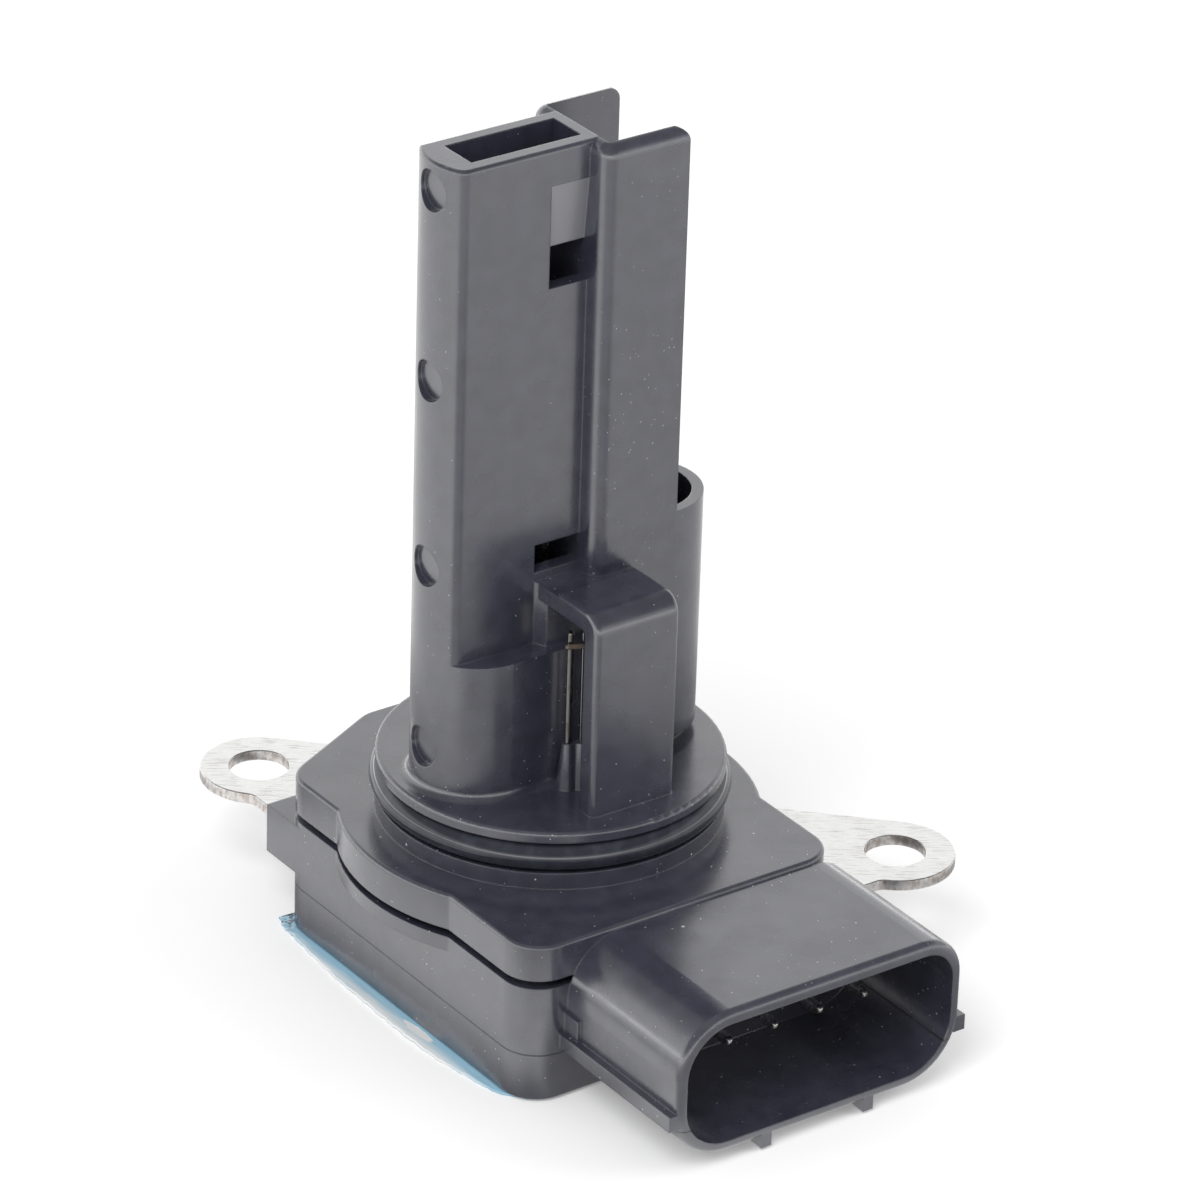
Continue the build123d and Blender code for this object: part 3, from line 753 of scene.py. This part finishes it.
@dataclass
class FilmSheet:
    """The thin label film, flat under the cover and loose along its left side.

    Waves are a rate in radians per millimetre and a phase. Nicks have a height in millimetres first.
    """

    thickness_mm: float = 0.12
    inner_x_mm: float = 12.9
    rows: int = 181
    under_cover: tuple[float, ...] = (0.0, 0.5, 0.88)
    loose_share: float = 0.9
    loose_columns: int = 15
    smoothing: int = 24
    nicks: tuple[tuple[float, float, float], ...] = ((0.04, 3.1, 0.0), (0.03, 7.7, 1.0))
    rise_mm: float = 0.16
    rise_x_mm: float = -14.3
    rise_over_mm: float = 1.4
    rise_power: float = 1.5
    waves: tuple[tuple[float, float], ...] = ((0.55, 0.8), (0.21, 0.3))
    crumple_mm: float = 0.28
    crumple_y_mm: float = 11.0
    crumple_along_mm: float = 3.0
    crumple_x_mm: float = -13.9
    crumple_across_mm: float = 0.6
    crinkle_rates: tuple[float, float, float, float] = (5.2, 6.0, 7.3, 2.1)
    edge_y_mm: tuple[float, ...] = (-16.6, -15.4, -14.0, -11.3, -8.0, -4.6, 0.0, 5.1, 9.0, 12.1, 14.0, 15.2)
    edge_x_mm: tuple[float, ...] = (-13.0, -14.2, -14.8, -15.2, -15.75, -15.9, -15.78, -15.65, -15.3,
                                    -14.98, -14.85, -14.3)
    finish: LabelFilm = LabelFilm()

    def outline(self, y: np.ndarray) -> np.ndarray:
        """The free edge: straight runs between its stations, their moving average, and small sine nicks.

        Args:
            y: where to read the edge, in millimetres.

        Returns:
            The edge's X at each Y, in millimetres.
        """
        x = np.interp(y, self.edge_y_mm, self.edge_x_mm)
        width = max(3, len(y) // self.smoothing) | 1
        padded = np.pad(x, width // 2, mode="edge")
        smooth = np.convolve(padded, np.ones(width) / width, mode="valid")
        return smooth + sum(height * np.sin(rate * y + phase) for height, rate, phase in self.nicks)

    def lift(self, x: np.ndarray, y: np.ndarray) -> np.ndarray:
        """How far the film rises from the floor, growing with the distance outside the cover.

        Two slow sines along Y make it rise in waves, and at the torn corner a product of a sine and a
        cosine of both coordinates crumples it.

        Args:
            x: X of the grid, in millimetres.
            y: Y of its rows as a column, in millimetres.

        Returns:
            The rise at each point, in millimetres.
        """
        free = np.clip((self.rise_x_mm - x) / self.rise_over_mm, 0, 1)
        slow, slower = (np.sin(rate * y + phase) for rate, phase in self.waves)
        corner = (np.clip((y - self.crumple_y_mm) / self.crumple_along_mm, 0, 1)
                  * np.clip((self.crumple_x_mm - x) / self.crumple_across_mm, 0, 1))
        sine_y, sine_x, cosine_x, cosine_y = self.crinkle_rates
        crinkle = 0.5 + 0.5 * np.sin(sine_y * y + sine_x * x) * np.cos(cosine_x * x - cosine_y * y)
        rise = self.rise_mm * free**self.rise_power * (0.5 + 0.5 * slow * slower)
        return rise + self.crumple_mm * corner * crinkle

    def build(self) -> bpy.types.Object:
        """Builds the sheet.

        Each row is a closed section at one Y. Its upper side runs from under the cover to the free
        edge, rises there by a few waves along Y, and its lower side comes back under it.

        Returns:
            The dressed sheet.
        """
        low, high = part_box("label_film")
        top, bottom = high.z / MM, low.z / MM
        y = np.linspace(self.edge_y_mm[0], self.edge_y_mm[-1], self.rows)
        across = np.concatenate([self.under_cover, np.linspace(self.loose_share, 1.0, self.loose_columns)])
        x = self.inner_x_mm + (self.outline(y)[:, None] - self.inner_x_mm) * across[None, :]
        lift = self.lift(x, y[:, None])
        covered = (top - bottom - self.thickness_mm) * (x > COVER_SIDE_MM)
        upper_z = bottom + self.thickness_mm + lift + covered
        upper = np.stack([x, np.broadcast_to(y[:, None], x.shape), upper_z], axis=-1)
        lower = upper.copy()
        lower[..., 2] = bottom + lift
        section = np.concatenate([upper, lower[:, ::-1]], axis=1)
        sheet = skin("label_film_sheet", section * MM)
        return dress(sheet, self.finish.build(), Slot.FILM, "label_film")


@dataclass
class SealRing:
    """The rubber ring in the collar's groove."""

    around: int = 220
    section_steps: int = 40
    flash_mm: float = 0.035
    flash_width: float = 0.05
    finish: SealRubber = SealRubber()

    def build(self) -> bpy.types.Object:
        """Builds the ring.

        The surface is a torus: a circle of the section's radius carried round the axis. A narrow
        flash line, a bell curve in the section's angle, stands out at its outer equator.

        Returns:
            The dressed ring.
        """
        low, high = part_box("seal_ring")
        section = (high.z - low.z) / 2
        centre = high.x - section
        u = np.linspace(0, FULL_TURN, self.around, endpoint=False)[:, None]
        v = np.linspace(0, FULL_TURN, self.section_steps, endpoint=False)[None, :]
        angle = np.abs((v + math.pi) % FULL_TURN - math.pi)
        flash = self.flash_mm * MM * np.exp(-((angle / self.flash_width) ** 2))
        radius = section - self.flash_mm * MM + flash
        distance = centre + radius * np.cos(v)
        height = (low.z + high.z) / 2 + radius * np.sin(v)
        grid = np.stack(np.broadcast_arrays(distance * np.cos(u), distance * np.sin(u), height), axis=-1)
        ring = skin("seal_ring_rubber", grid, ring_rows=True)
        return dress(ring, self.finish.build(), Slot.SEAL, "seal_ring")


@dataclass
class ContactPins:
    """The five contacts in the connector. Distances along them start at the tip, or end at the board."""

    count: int = 5
    squareness: float = 8.0
    tip_mm: float = 0.5
    tip_share: float = 0.2
    tip_rows: int = 13
    blade_from_mm: float = 1.2
    blade_rows: int = 60
    barb_mm: tuple[float, float, float, float] = (6.4, 6.5, 8.3, 8.4)
    pad_mm: tuple[float, float] = (-2.7, -2.6)
    pad_wider_mm: float = 0.28
    finish: PlatedMetal = PlatedMetal("tin_plated_contact", worn="#bdb3a2", roughness=0.2)

    def build(self) -> list[bpy.types.Object]:
        """Builds each contact.

        A rounded square section is carried along Y. Its half width follows the contact's own: a
        tip domed as a quarter circle, the blade, two barbs in the socket's wall, and the pad on the board.

        Returns:
            The dressed contacts.
        """
        material = self.finish.build()
        made = []
        for number in range(1, self.count + 1):
            node = f"connector_terminal_{number}"
            low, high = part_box(node)
            middle_x, middle_z = (low.x + high.x) / 2, (low.z + high.z) / 2
            half, widest = (high.z - low.z) / 2, (high.x - low.x) / 2
            start, end = low.y, high.y
            y = np.concatenate([start + self.tip_mm * MM * np.linspace(0, 1, self.tip_rows) ** 2,
                                np.linspace(start + self.blade_from_mm * MM, end, self.blade_rows)])
            into_tip = 1 - np.clip((y - start) / (self.tip_mm * MM), 0, 1)
            shape = self.tip_share + (1 - self.tip_share) * np.sqrt(1 - into_tip**2)
            barb = np.interp(y - start, in_metres(*self.barb_mm), (0, 1, 1, 0))
            pad = np.interp(y - end, in_metres(*self.pad_mm), (0, 1))
            wide = half * shape + barb * (widest - half) + pad * self.pad_wider_mm * MM
            a, b = rounded_section(np.minimum(wide, widest), half * shape, self.squareness)
            grid = np.stack([middle_x + a, np.broadcast_to(y[:, None], a.shape), middle_z + b], axis=-1)
            pin = skin(f"contact_pin_{number}", grid)
            made.append(dress(pin, material, Slot.TERMINAL, node))
        return made


@dataclass
class TemperatureSensor:
    """The two leads and the glass bead under the hood. The belly is a bell curve on the bead."""

    frame: dict
    squareness: float = 7.0
    shaft_rows: int = 40
    dome_mm: float = 0.25
    dome_from: float = 0.1
    dome_rows: int = 8
    dome_limit: float = 0.98
    bead_radius_mm: float = 0.2
    bead_start_mm: float = -0.5
    bead_rows: int = 33
    bead_steps: int = 24
    bead_power: float = 0.25
    bead_ends: tuple[float, float] = (0.004, 0.996)
    belly_height: float = 0.28
    belly_at: float = 0.12
    belly_width: float = 0.1
    # The leads' tin is painted darker than bare tin: painted shade under the dark hood.
    lead_finish: PlatedMetal = PlatedMetal("tinned_copper_lead", bright="#a9a7a4", worn="#7c5a42",
                                           roughness=0.14, patch_mm=1.8)
    bead_finish: BeadGlass = BeadGlass()

    def corners(self, node: str) -> tuple[np.ndarray, np.ndarray, float, float]:
        """Reads an upright square post from its solid.

        Args:
            node: the frame's node.

        Returns:
            The middle in the plan, one side as a vector, and the low and high Z.
        """
        data = self.frame["nodes"][node].data
        co = np.empty(len(data.vertices) * 3, np.float32)
        data.vertices.foreach_get("co", co)
        co = co.reshape(-1, 3)
        low_z, high_z = float(co[:, 2].min()), float(co[:, 2].max())
        plan = np.unique(np.round(co[:, :2], 7), axis=0)
        middle = plan.mean(axis=0)
        ordered = plan[np.argsort(np.arctan2(*(plan - middle).T[::-1]))]
        return middle, (ordered[1] - ordered[0]), low_z, high_z

    def lead(self, node: str, name: str, material: bpy.types.Material) -> bpy.types.Object:
        """Builds one lead: a rounded square carried up Z, whose end is domed as a quarter circle.

        Args:
            node: the frame's node.
            name: the new piece's name.
            material: its material.

        Returns:
            The dressed lead.
        """
        middle, side, low_z, high_z = self.corners(node)
        half = float(np.linalg.norm(side)) / 2
        direction = side / np.linalg.norm(side)
        across = np.array([-direction[1], direction[0]])
        dome = self.dome_mm * MM
        z = np.concatenate([np.linspace(low_z, high_z - dome, self.shaft_rows),
                            high_z - dome * (1 - np.linspace(self.dome_from, 1, self.dome_rows))])
        into_dome = np.clip((z - (high_z - dome)) / dome, 0, self.dome_limit)
        shape = np.sqrt(1 - into_dome**2)
        a, b = rounded_section(half * shape, half * shape, self.squareness)
        plan = middle[None, None, :] + a[..., None] * direction + b[..., None] * across
        grid = np.concatenate([plan, np.broadcast_to(z[:, None, None], a.shape + (1,))], axis=-1)
        return dress(skin(name, grid), material, Slot.LEAD, node)

    def bead(self) -> bpy.types.Object:
        """Builds the bead, a tube of glass along the line between the leads and beside them.

        It is drawn in at both ends like a drop, by the fourth root of a half sine of the way along it,
        and a bell curve makes it fatter at its free end.

        Returns:
            The dressed bead.
        """
        middle_left, _, _, _ = self.corners("thermistor_lead_left")
        middle_right, side, _, _ = self.corners("thermistor_lead_right")
        low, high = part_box("thermistor_bead")
        run = middle_right - middle_left
        length = float(np.linalg.norm(run))
        along = run / length
        away = np.array([along[1], -along[0]])
        half = float(np.linalg.norm(side)) / 2
        radius = self.bead_radius_mm * MM
        start, end = self.bead_start_mm * MM, length + half
        t = np.linspace(0.0, 1.0, self.bead_rows)
        swell = np.sin(math.pi * np.clip(t, *self.bead_ends)) ** self.bead_power
        belly = 1 + self.belly_height * np.exp(-(((t - self.belly_at) / self.belly_width) ** 2))
        fat = (radius * swell * belly)[:, None]
        angle = np.linspace(0, FULL_TURN, self.bead_steps, endpoint=False)[None, :]
        position = start + (end - start) * t
        centre = middle_left + position[:, None] * along + away * (half + radius)
        plan = centre[:, None, :] + (fat * np.cos(angle))[..., None] * away
        z = (low.z + high.z) / 2 + fat * np.sin(angle)
        grid = np.concatenate([plan, z[..., None]], axis=-1)
        return dress(skin("sensor_bead", grid), self.bead_finish.build(), Slot.BEAD, "thermistor_bead")

    def build(self) -> list[bpy.types.Object]:
        """Builds the leads and the bead.

        Returns:
            The dressed pieces.
        """
        material = self.lead_finish.build()
        leads = [self.lead(f"thermistor_lead_{side}", f"sensor_lead_{side}", material)
                 for side in ("left", "right")]
        return [*leads, self.bead()]


@dataclass
class MountPlate:
    """The stamped steel plate with its two ears. Angles are in degrees."""

    frame: dict
    rounding_mm: float = 0.1
    strips: int = 2
    sharp_angle: float = 40.0
    merge_mm: float = 0.002
    flat_angle: float = 0.8
    level_share: float = 0.99
    finish: RolledSteel = RolledSteel()

    def copy(self, node: str, name: str) -> bpy.types.Object:
        """Copies a node's solid and merges its loose triangles. Its level faces are shaded flat.

        Args:
            node: the frame's node.
            name: the new piece's name.

        Returns:
            The copy, linked to the scene.
        """
        mesh = self.frame["nodes"][node].data.copy()
        mesh.name = name
        shape = bmesh.new()
        shape.from_mesh(mesh)
        bmesh.ops.remove_doubles(shape, verts=shape.verts, dist=self.merge_mm * MM)
        bmesh.ops.dissolve_limit(shape, angle_limit=math.radians(self.flat_angle), verts=shape.verts,
                                 edges=shape.edges)
        bmesh.ops.triangulate(shape, faces=[face for face in shape.faces if len(face.verts) > 4])
        shape.to_mesh(mesh)
        shape.free()
        facing = np.empty(3 * len(mesh.polygons), np.float32)
        mesh.polygons.foreach_get("normal", facing)
        mesh.polygons.foreach_set("use_smooth", np.abs(facing[2::3]) < self.level_share)
        piece = bpy.data.objects.new(name, mesh)
        bpy.context.scene.collection.objects.link(piece)
        return piece

    def build(self) -> bpy.types.Object:
        """Rounds the edges of the plate that bend by more than the sharp angle, and dresses it.

        Returns:
            The dressed plate.
        """
        plate = self.copy("mount_plate", "stamped_plate")
        bevel = plate.modifiers.new("rounded_edges", "BEVEL")
        bevel.width = self.rounding_mm * MM
        bevel.segments = self.strips
        bevel.limit_method = "ANGLE"
        bevel.angle_limit = math.radians(self.sharp_angle)
        bevel.use_clamp_overlap = True
        bevel.harden_normals = True
        return dress(plate, self.finish.build(), Slot.PLATE, "mount_plate")


@dataclass
class WoundElements:
    """The heated element and its reference in the air passage."""

    turns: int = 9
    steps_per_turn: int = 16
    wire_mm: float = 0.05
    wire_steps: int = 6
    bare_share: float = 0.1
    core_rows: int = 25
    core_steps: int = 20
    end_narrowing: float = 0.35
    end_power: int = 8
    finish: PlatedMetal = PlatedMetal("platinum_wire", bright="#d8d8d6", worn="#9c9a94", roughness=0.3)
    glaze: FiredCeramic = FiredCeramic("glazed_alumina_core", "#cfd3cb", "#aeb4ab", 0.15)

    def core(self, node: str) -> np.ndarray:
        """A cylinder along X that narrows at both ends by a high power of the way from its middle.

        Args:
            node: the frame's node.

        Returns:
            The core's grid of points.
        """
        low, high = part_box(node)
        radius = (high.z - low.z) / 2
        t = np.linspace(0, 1, self.core_rows)[:, None]
        fat = (radius - self.wire_mm * MM) * (1 - self.end_narrowing * np.abs(2 * t - 1) ** self.end_power)
        angle = np.linspace(0, FULL_TURN, self.core_steps, endpoint=False)[None, :]
        x = low.x + (high.x - low.x) * t
        return np.stack(np.broadcast_arrays(x, (low.y + high.y) / 2 + fat * np.cos(angle),
                                            (low.z + high.z) / 2 + fat * np.sin(angle)), axis=-1)

    def winding(self, node: str) -> np.ndarray:
        """A thin tube whose middle follows a helix round the core: angle grows evenly with X.

        Args:
            node: the frame's node.

        Returns:
            The wire's grid of points.
        """
        low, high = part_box(node)
        wire = 0.5 * self.wire_mm * MM
        s = np.linspace(0, 1, self.turns * self.steps_per_turn)[:, None]
        turn = FULL_TURN * self.turns * s
        x = low.x + (high.x - low.x) * (self.bare_share + (1 - 2 * self.bare_share) * s)
        section = np.linspace(0, FULL_TURN, self.wire_steps, endpoint=False)[None, :]
        around = (high.z - low.z) / 2 - wire + wire * np.cos(section)
        return np.stack([x + wire * np.sin(section), (low.y + high.y) / 2 + around * np.cos(turn),
                         (low.z + high.z) / 2 + around * np.sin(turn)], axis=-1)

    def build(self) -> list[bpy.types.Object]:
        """Builds a core and a wire winding for each element.

        Returns:
            The dressed pieces.
        """
        glaze, wire = self.glaze.build(), self.finish.build()
        made = []
        for node in ("heating_element", "reference_element"):
            made.append(dress(skin(f"{node}_core", self.core(node)), glaze, Slot.ELEMENT, node))
            made.append(dress(skin(f"{node}_winding", self.winding(node)), wire, Slot.ELEMENT))
        return made


@dataclass
class Electronics:
    """The board, its bodies and the posts, which keep their solids. Nodes in one group share a finish."""

    frame: dict
    finishes: dict[tuple[str, ...], FiredCeramic | PlatedMetal] = field(default_factory=lambda: {
        ("circuit_board",):
            FiredCeramic("fired_alumina_board", "#e3e0d6", "#cfcbbd"),
        ("control_chip", "heater_transistor", "surge_diode"):
            FiredCeramic("moulded_epoxy_body", "#202124", "#2a2b2f", 0.5),
        ("filter_capacitor_1", "filter_capacitor_2"):
            FiredCeramic("fired_capacitor_body", "#a98a62", "#8f7350"),
        ("trim_resistor_1", "trim_resistor_2"):
            FiredCeramic("printed_resistor_film", "#27332c", "#334239"),
        ("sensing_post_1", "sensing_post_2", "sensing_post_3", "sensing_post_4"):
            PlatedMetal("nickel_plated_post", bright="#cfcdc8", worn="#b0aca4"),
    })

    def build(self) -> None:
        """Gives each kept solid its material."""
        for nodes, finish in self.finishes.items():
            material = finish.build()
            for node in nodes:
                keep(self.frame, node, material)


@dataclass
class Studio:
    """The pale floor, the soft light and the camera.

    The camera's angles are in degrees. The axes are level directions, each with the range of a smooth
    step along it, and they shape only what surfaces mirror. Seen from the camera, the room is open on
    the left and dimmer on the right, and the table's dim corner is in front, a little to the right.
    """

    frame_px: float = 1200.0
    sensor_mm: float = 36.0
    focal_px: float = 6747.93
    azimuth: float = -36.067
    elevation: float = 27.641
    roll: float = 1.829
    distance_mm: float = 507.30
    aim_mm: tuple[float, float, float] = (0.0, 0.0, 9.3)
    aim_px: tuple[float, float] = (550.977, 746.120)
    clip: tuple[float, float] = (0.01, 10.0)
    white: str = "#ffffff"
    world_light: float = 0.62
    ahead: tuple[float, float] = (0.588, 0.809)
    ceiling_tilt: float = 0.25
    ceiling_range: tuple[float, float] = (0.31, 0.55)
    dark_ceiling: float = 0.2
    window_bottom: tuple[float, float] = (0.0, 0.02)
    window_top: tuple[float, float] = (0.05, 0.09)
    window_glow: float = 2.2
    open_axis: tuple[float, float, float] = (-0.85, 0.53, 0.0)
    open_range: tuple[float, float] = (-0.95, 0.0)
    dim_right: float = 0.36
    corner_axis: tuple[float, float, float] = (-0.375, -0.927, 0.0)
    corner_range: tuple[float, float] = (0.62, 0.97)
    dim_corner: float = 0.6
    sheet_edge_mm: tuple[float, float] = (36.0, 43.0)
    table_edge_mm: tuple[float, float] = (48.0, 63.0)
    room_edge_mm: tuple[float, float] = (165.0, 200.0)
    dim_table: float = 0.45
    contact_mm: float = 6.0
    # How dark the mirrored floor is painted right by the object: painted shadow.
    contact_shadow_level: float = 0.3
    shroud_side_mm: float = 12.6
    floor_paint: str = "#f0f0f0"
    floor_lift: float = 0.2
    floor_drop_mm: float = 0.02
    floor_half: float = 1.5
    lamp_aim: tuple[float, float, float] = (0.0, 0.0, 0.02)

    def camera(self) -> None:
        """Places the camera found from the photograph: its aim point falls on the stated pixel."""
        az, el, roll = (math.radians(a) for a in (self.azimuth, self.elevation, self.roll))
        back = Vector((math.sin(az) * math.cos(el), -math.cos(az) * math.cos(el), math.sin(el)))
        level = Vector((math.cos(az), math.sin(az), 0.0))
        up = back.cross(level)
        right = math.cos(roll) * level + math.sin(roll) * up
        upward = -math.sin(roll) * level + math.cos(roll) * up
        shift_x = (self.aim_px[0] - self.frame_px / 2) / self.focal_px * self.distance_mm
        shift_y = -(self.aim_px[1] - self.frame_px / 2) / self.focal_px * self.distance_mm
        place = Vector(self.aim_mm) - shift_x * right - shift_y * upward + self.distance_mm * back
        data = bpy.data.cameras.new("camera")
        data.sensor_width = self.sensor_mm
        data.lens = self.focal_px / self.frame_px * self.sensor_mm
        data.clip_start, data.clip_end = self.clip
        camera = bpy.data.objects.new("camera", data)
        axes = Matrix((right, upward, back)).transposed().to_4x4()
        axes.translation = place * MM
        camera.matrix_world = axes
        bpy.context.scene.collection.objects.link(camera)
        bpy.context.scene.camera = camera

    def ray_switches(self, tree: Tree) -> tuple[Socket, Node]:
        """Tells rays apart.

        Args:
            tree: the node tree.

        Returns:
            One for a ray from the camera, and one for a ray that a surface mirrored or let through.
        """
        rays = add_node(tree, "LightPath").outputs
        mirrored = add_node(tree, "Math", "MAXIMUM", rays["Is Glossy Ray"], rays["Is Transmission Ray"])
        return rays["Is Camera Ray"], mirrored

    def open_side(self, tree: Tree, direction: Socket) -> Node:
        """How bright the room looks in a reflection: one on its open side and less on the other.

        Args:
            tree: the node tree.
            direction: where the reflection points, or a place on the floor.

        Returns:
            The brightness, by a smooth step of the level direction along the open axis.
        """
        level = add_node(tree, "VectorMath", "MULTIPLY", direction, (1.0, 1.0, 0.0))
        bearing = add_node(tree, "VectorMath", "NORMALIZE", level)
        behind = add_node(tree, "VectorMath", "DOT_PRODUCT", bearing, self.open_axis)
        return add_node(tree, "MapRange", SMOOTH, behind, *self.open_range, 1.0 - self.dim_right, 1.0)

    def world(self) -> None:
        """A plain studio: white to the camera, even as light, and in reflections white with a dim ceiling.

        The ceiling starts where height - tilt * (share that points away from the camera's side)
        passes a smooth step. A narrow row of windows runs round the room just above the floor.
        """
        world = bpy.data.worlds.new("world")
        bpy.context.scene.world = world
        world.use_nodes = True
        tree = world.node_tree
        tree.nodes.clear()
        camera_ray, mirrored = self.ray_switches(tree)
        direction = add_node(tree, "TexCoord").outputs["Generated"]
        tilted = (-self.ceiling_tilt * self.ahead[0], -self.ceiling_tilt * self.ahead[1], 1.0)
        rise = add_node(tree, "VectorMath", "DOT_PRODUCT", direction, tilted)
        height = add_node(tree, "SeparateXYZ", None, direction).outputs["Z"]
        above_sill = add_node(tree, "MapRange", SMOOTH, height, *self.window_bottom)
        glow = add_node(tree, "MapRange", SMOOTH, height, *self.window_top, self.window_glow, 0.0)
        window = add_node(tree, "Math", "MULTIPLY", above_sill, glow)
        ceiling = add_node(tree, "MapRange", SMOOTH, rise, *self.ceiling_range, 1.0, self.dark_ceiling)
        room = add_node(tree, "Math", "ADD", window, ceiling)
        studio = add_node(tree, "Math", "MULTIPLY", room, self.open_side(tree, direction))
        light = add_node(tree, "MapRange", SMOOTH, camera_ray, 0.0, 1.0, self.world_light, 1.0)
        strength = add_node(tree, "Mix", {"data_type": "FLOAT"}, mirrored, light, studio)
        sky = add_node(tree, "Background", None, self.white, strength)
        add_node(tree, "OutputWorld", None, sky)

    def off_box(self, tree: Tree, place: Socket, node: str, grow_mm: float = 0.0) -> Node:
        """How far a floor point lies outside the plan of a node's box: the length of the clipped offset.

        Args:
            tree: the node tree.
            place: the floor's coordinates.
            node: the frame's node.
            grow_mm: how much wider the plan is on each side, along X.

        Returns:
            The distance in metres, zero under the box.
        """
        low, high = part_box(node)
        middle = ((low.x + high.x) / 2, (low.y + high.y) / 2, 0.0)
        half = ((high.x - low.x) / 2 + grow_mm * MM, (high.y - low.y) / 2, 1.0)
        off = add_node(tree, "VectorMath", "SUBTRACT", place, middle)
        over = add_node(tree, "VectorMath", "SUBTRACT", add_node(tree, "VectorMath", "ABSOLUTE", off), half)
        clipped = add_node(tree, "VectorMath", "MAXIMUM", over, (0.0, 0.0, 0.0))
        return add_node(tree, "VectorMath", "LENGTH", clipped)

    def mirrored_floor(self, tree: Tree, place: Socket) -> Node:
        """How bright the floor looks in a reflection.

        It is a white sheet on a grey table, which turns white again further out, but less so in the
        corner. It is darker close to the object, a painted shadow, and beyond the table it is white all
        round.

        Args:
            tree: the node tree.
            place: the floor's coordinates.

        Returns:
            The brightness.
        """
        bearing = add_node(tree, "VectorMath", "NORMALIZE", place)
        toward = add_node(tree, "VectorMath", "DOT_PRODUCT", bearing, self.corner_axis)
        corner = add_node(tree, "MapRange", SMOOTH, toward, *self.corner_range, 1.0, 1.0 - self.dim_corner)
        distance = add_node(tree, "VectorMath", "LENGTH", place)
        sheet = add_node(tree, "MapRange", SMOOTH, distance, *in_metres(*self.sheet_edge_mm), 1.0,
                         self.dim_table)
        table = add_node(tree, "MapRange", SMOOTH, distance, *in_metres(*self.table_edge_mm),
                         self.dim_table, 1.0)
        room = add_node(tree, "MapRange", SMOOTH, distance, *in_metres(*self.room_edge_mm))
        # The mirrored floor casts no shadow, so near the cover and the connector it is painted darker:
        # painted shadow.
        gap = add_node(tree, "Math", "MINIMUM", self.off_box(tree, place, "bottom_cover"),
                       self.off_box(tree, place, "connector_terminal_3", self.shroud_side_mm))
        contact = add_node(tree, "MapRange", SMOOTH, gap, 0.0, self.contact_mm * MM, self.contact_shadow_level, 1.0)
        beyond = add_node(tree, "Math", "MULTIPLY", corner, table)
        shaded = add_node(tree, "Math", "MAXIMUM", sheet, beyond)
        for shade in (contact, self.open_side(tree, place)):
            shaded = add_node(tree, "Math", "MULTIPLY", shaded, shade)
        return add_node(tree, "Math", "MAXIMUM", shaded, room)

    def floor(self) -> None:
        """A wide floor just under the object: white, but it keeps the object's soft shadow."""
        low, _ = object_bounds()
        height, half = low[2] - self.floor_drop_mm * MM, self.floor_half
        mesh = bpy.data.meshes.new("floor")
        corners = [(-half, -half, height), (half, -half, height), (half, half, height), (-half, half, height)]
        mesh.from_pydata(corners, [], [(0, 1, 2, 3)])
        floor = bpy.data.objects.new("floor", mesh)
        bpy.context.scene.collection.objects.link(floor)
        material, tree, place = new_material("studio_floor")
        camera_ray, mirrored = self.ray_switches(tree)
        paint = add_node(tree, "BsdfDiffuse", None, self.floor_paint)
        lift = add_node(tree, "Math", "MULTIPLY", camera_ray, self.floor_lift)
        lifted = add_node(tree, "AddShader", None, paint, add_node(tree, "Emission", None, Strength=lift))
        glow = add_node(tree, "Emission", None, Strength=self.mirrored_floor(tree, place))
        mixed = add_node(tree, "MixShader", None, mirrored, lifted, glow)
        add_node(tree, "OutputMaterial", None, mixed)
        mesh.materials.append(material)
        floor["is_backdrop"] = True

    def lamp(self, name: str, place: tuple[float, float, float], size: float, power: float) -> None:
        """Adds a square soft lamp that shows in no reflection.

        Args:
            name: the lamp's name.
            place: where it stands, in metres.
            size: its side in metres.
            power: its power in watts.
        """
        data = bpy.data.lights.new(name, "AREA")
        data.shape = "SQUARE"
        data.size, data.energy = size, power
        lamp = bpy.data.objects.new(name, data)
        lamp.visible_glossy = False
        lamp.location = place
        lamp.rotation_euler = (Vector(self.lamp_aim) - Vector(place)).to_track_quat("-Z", "Y").to_euler()
        bpy.context.scene.collection.objects.link(lamp)

    def build(self) -> None:
        """Sets up the camera, the world, the floor and the lamps."""
        self.camera()
        self.world()
        self.floor()
        self.lamp("key_lamp", place=(-0.55, -0.35, 0.75), size=0.5, power=5.0)
        self.lamp("fill_lamp", place=(0.7, -0.5, 0.5), size=0.6, power=2.5)
        bpy.context.scene.view_settings.view_transform = "Standard"


def main() -> None:
    """Builds every piece around the frame."""
    logging.basicConfig(level=logging.INFO, format="%(name)s: %(message)s")
    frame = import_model()
    Housing(frame).build()
    FilmSheet().build()
    SealRing().build()
    ContactPins().build()
    TemperatureSensor(frame).build()
    MountPlate(frame).build()
    WoundElements().build()
    Electronics(frame).build()
    Studio().build()


if __name__ == "__main__":
    main()
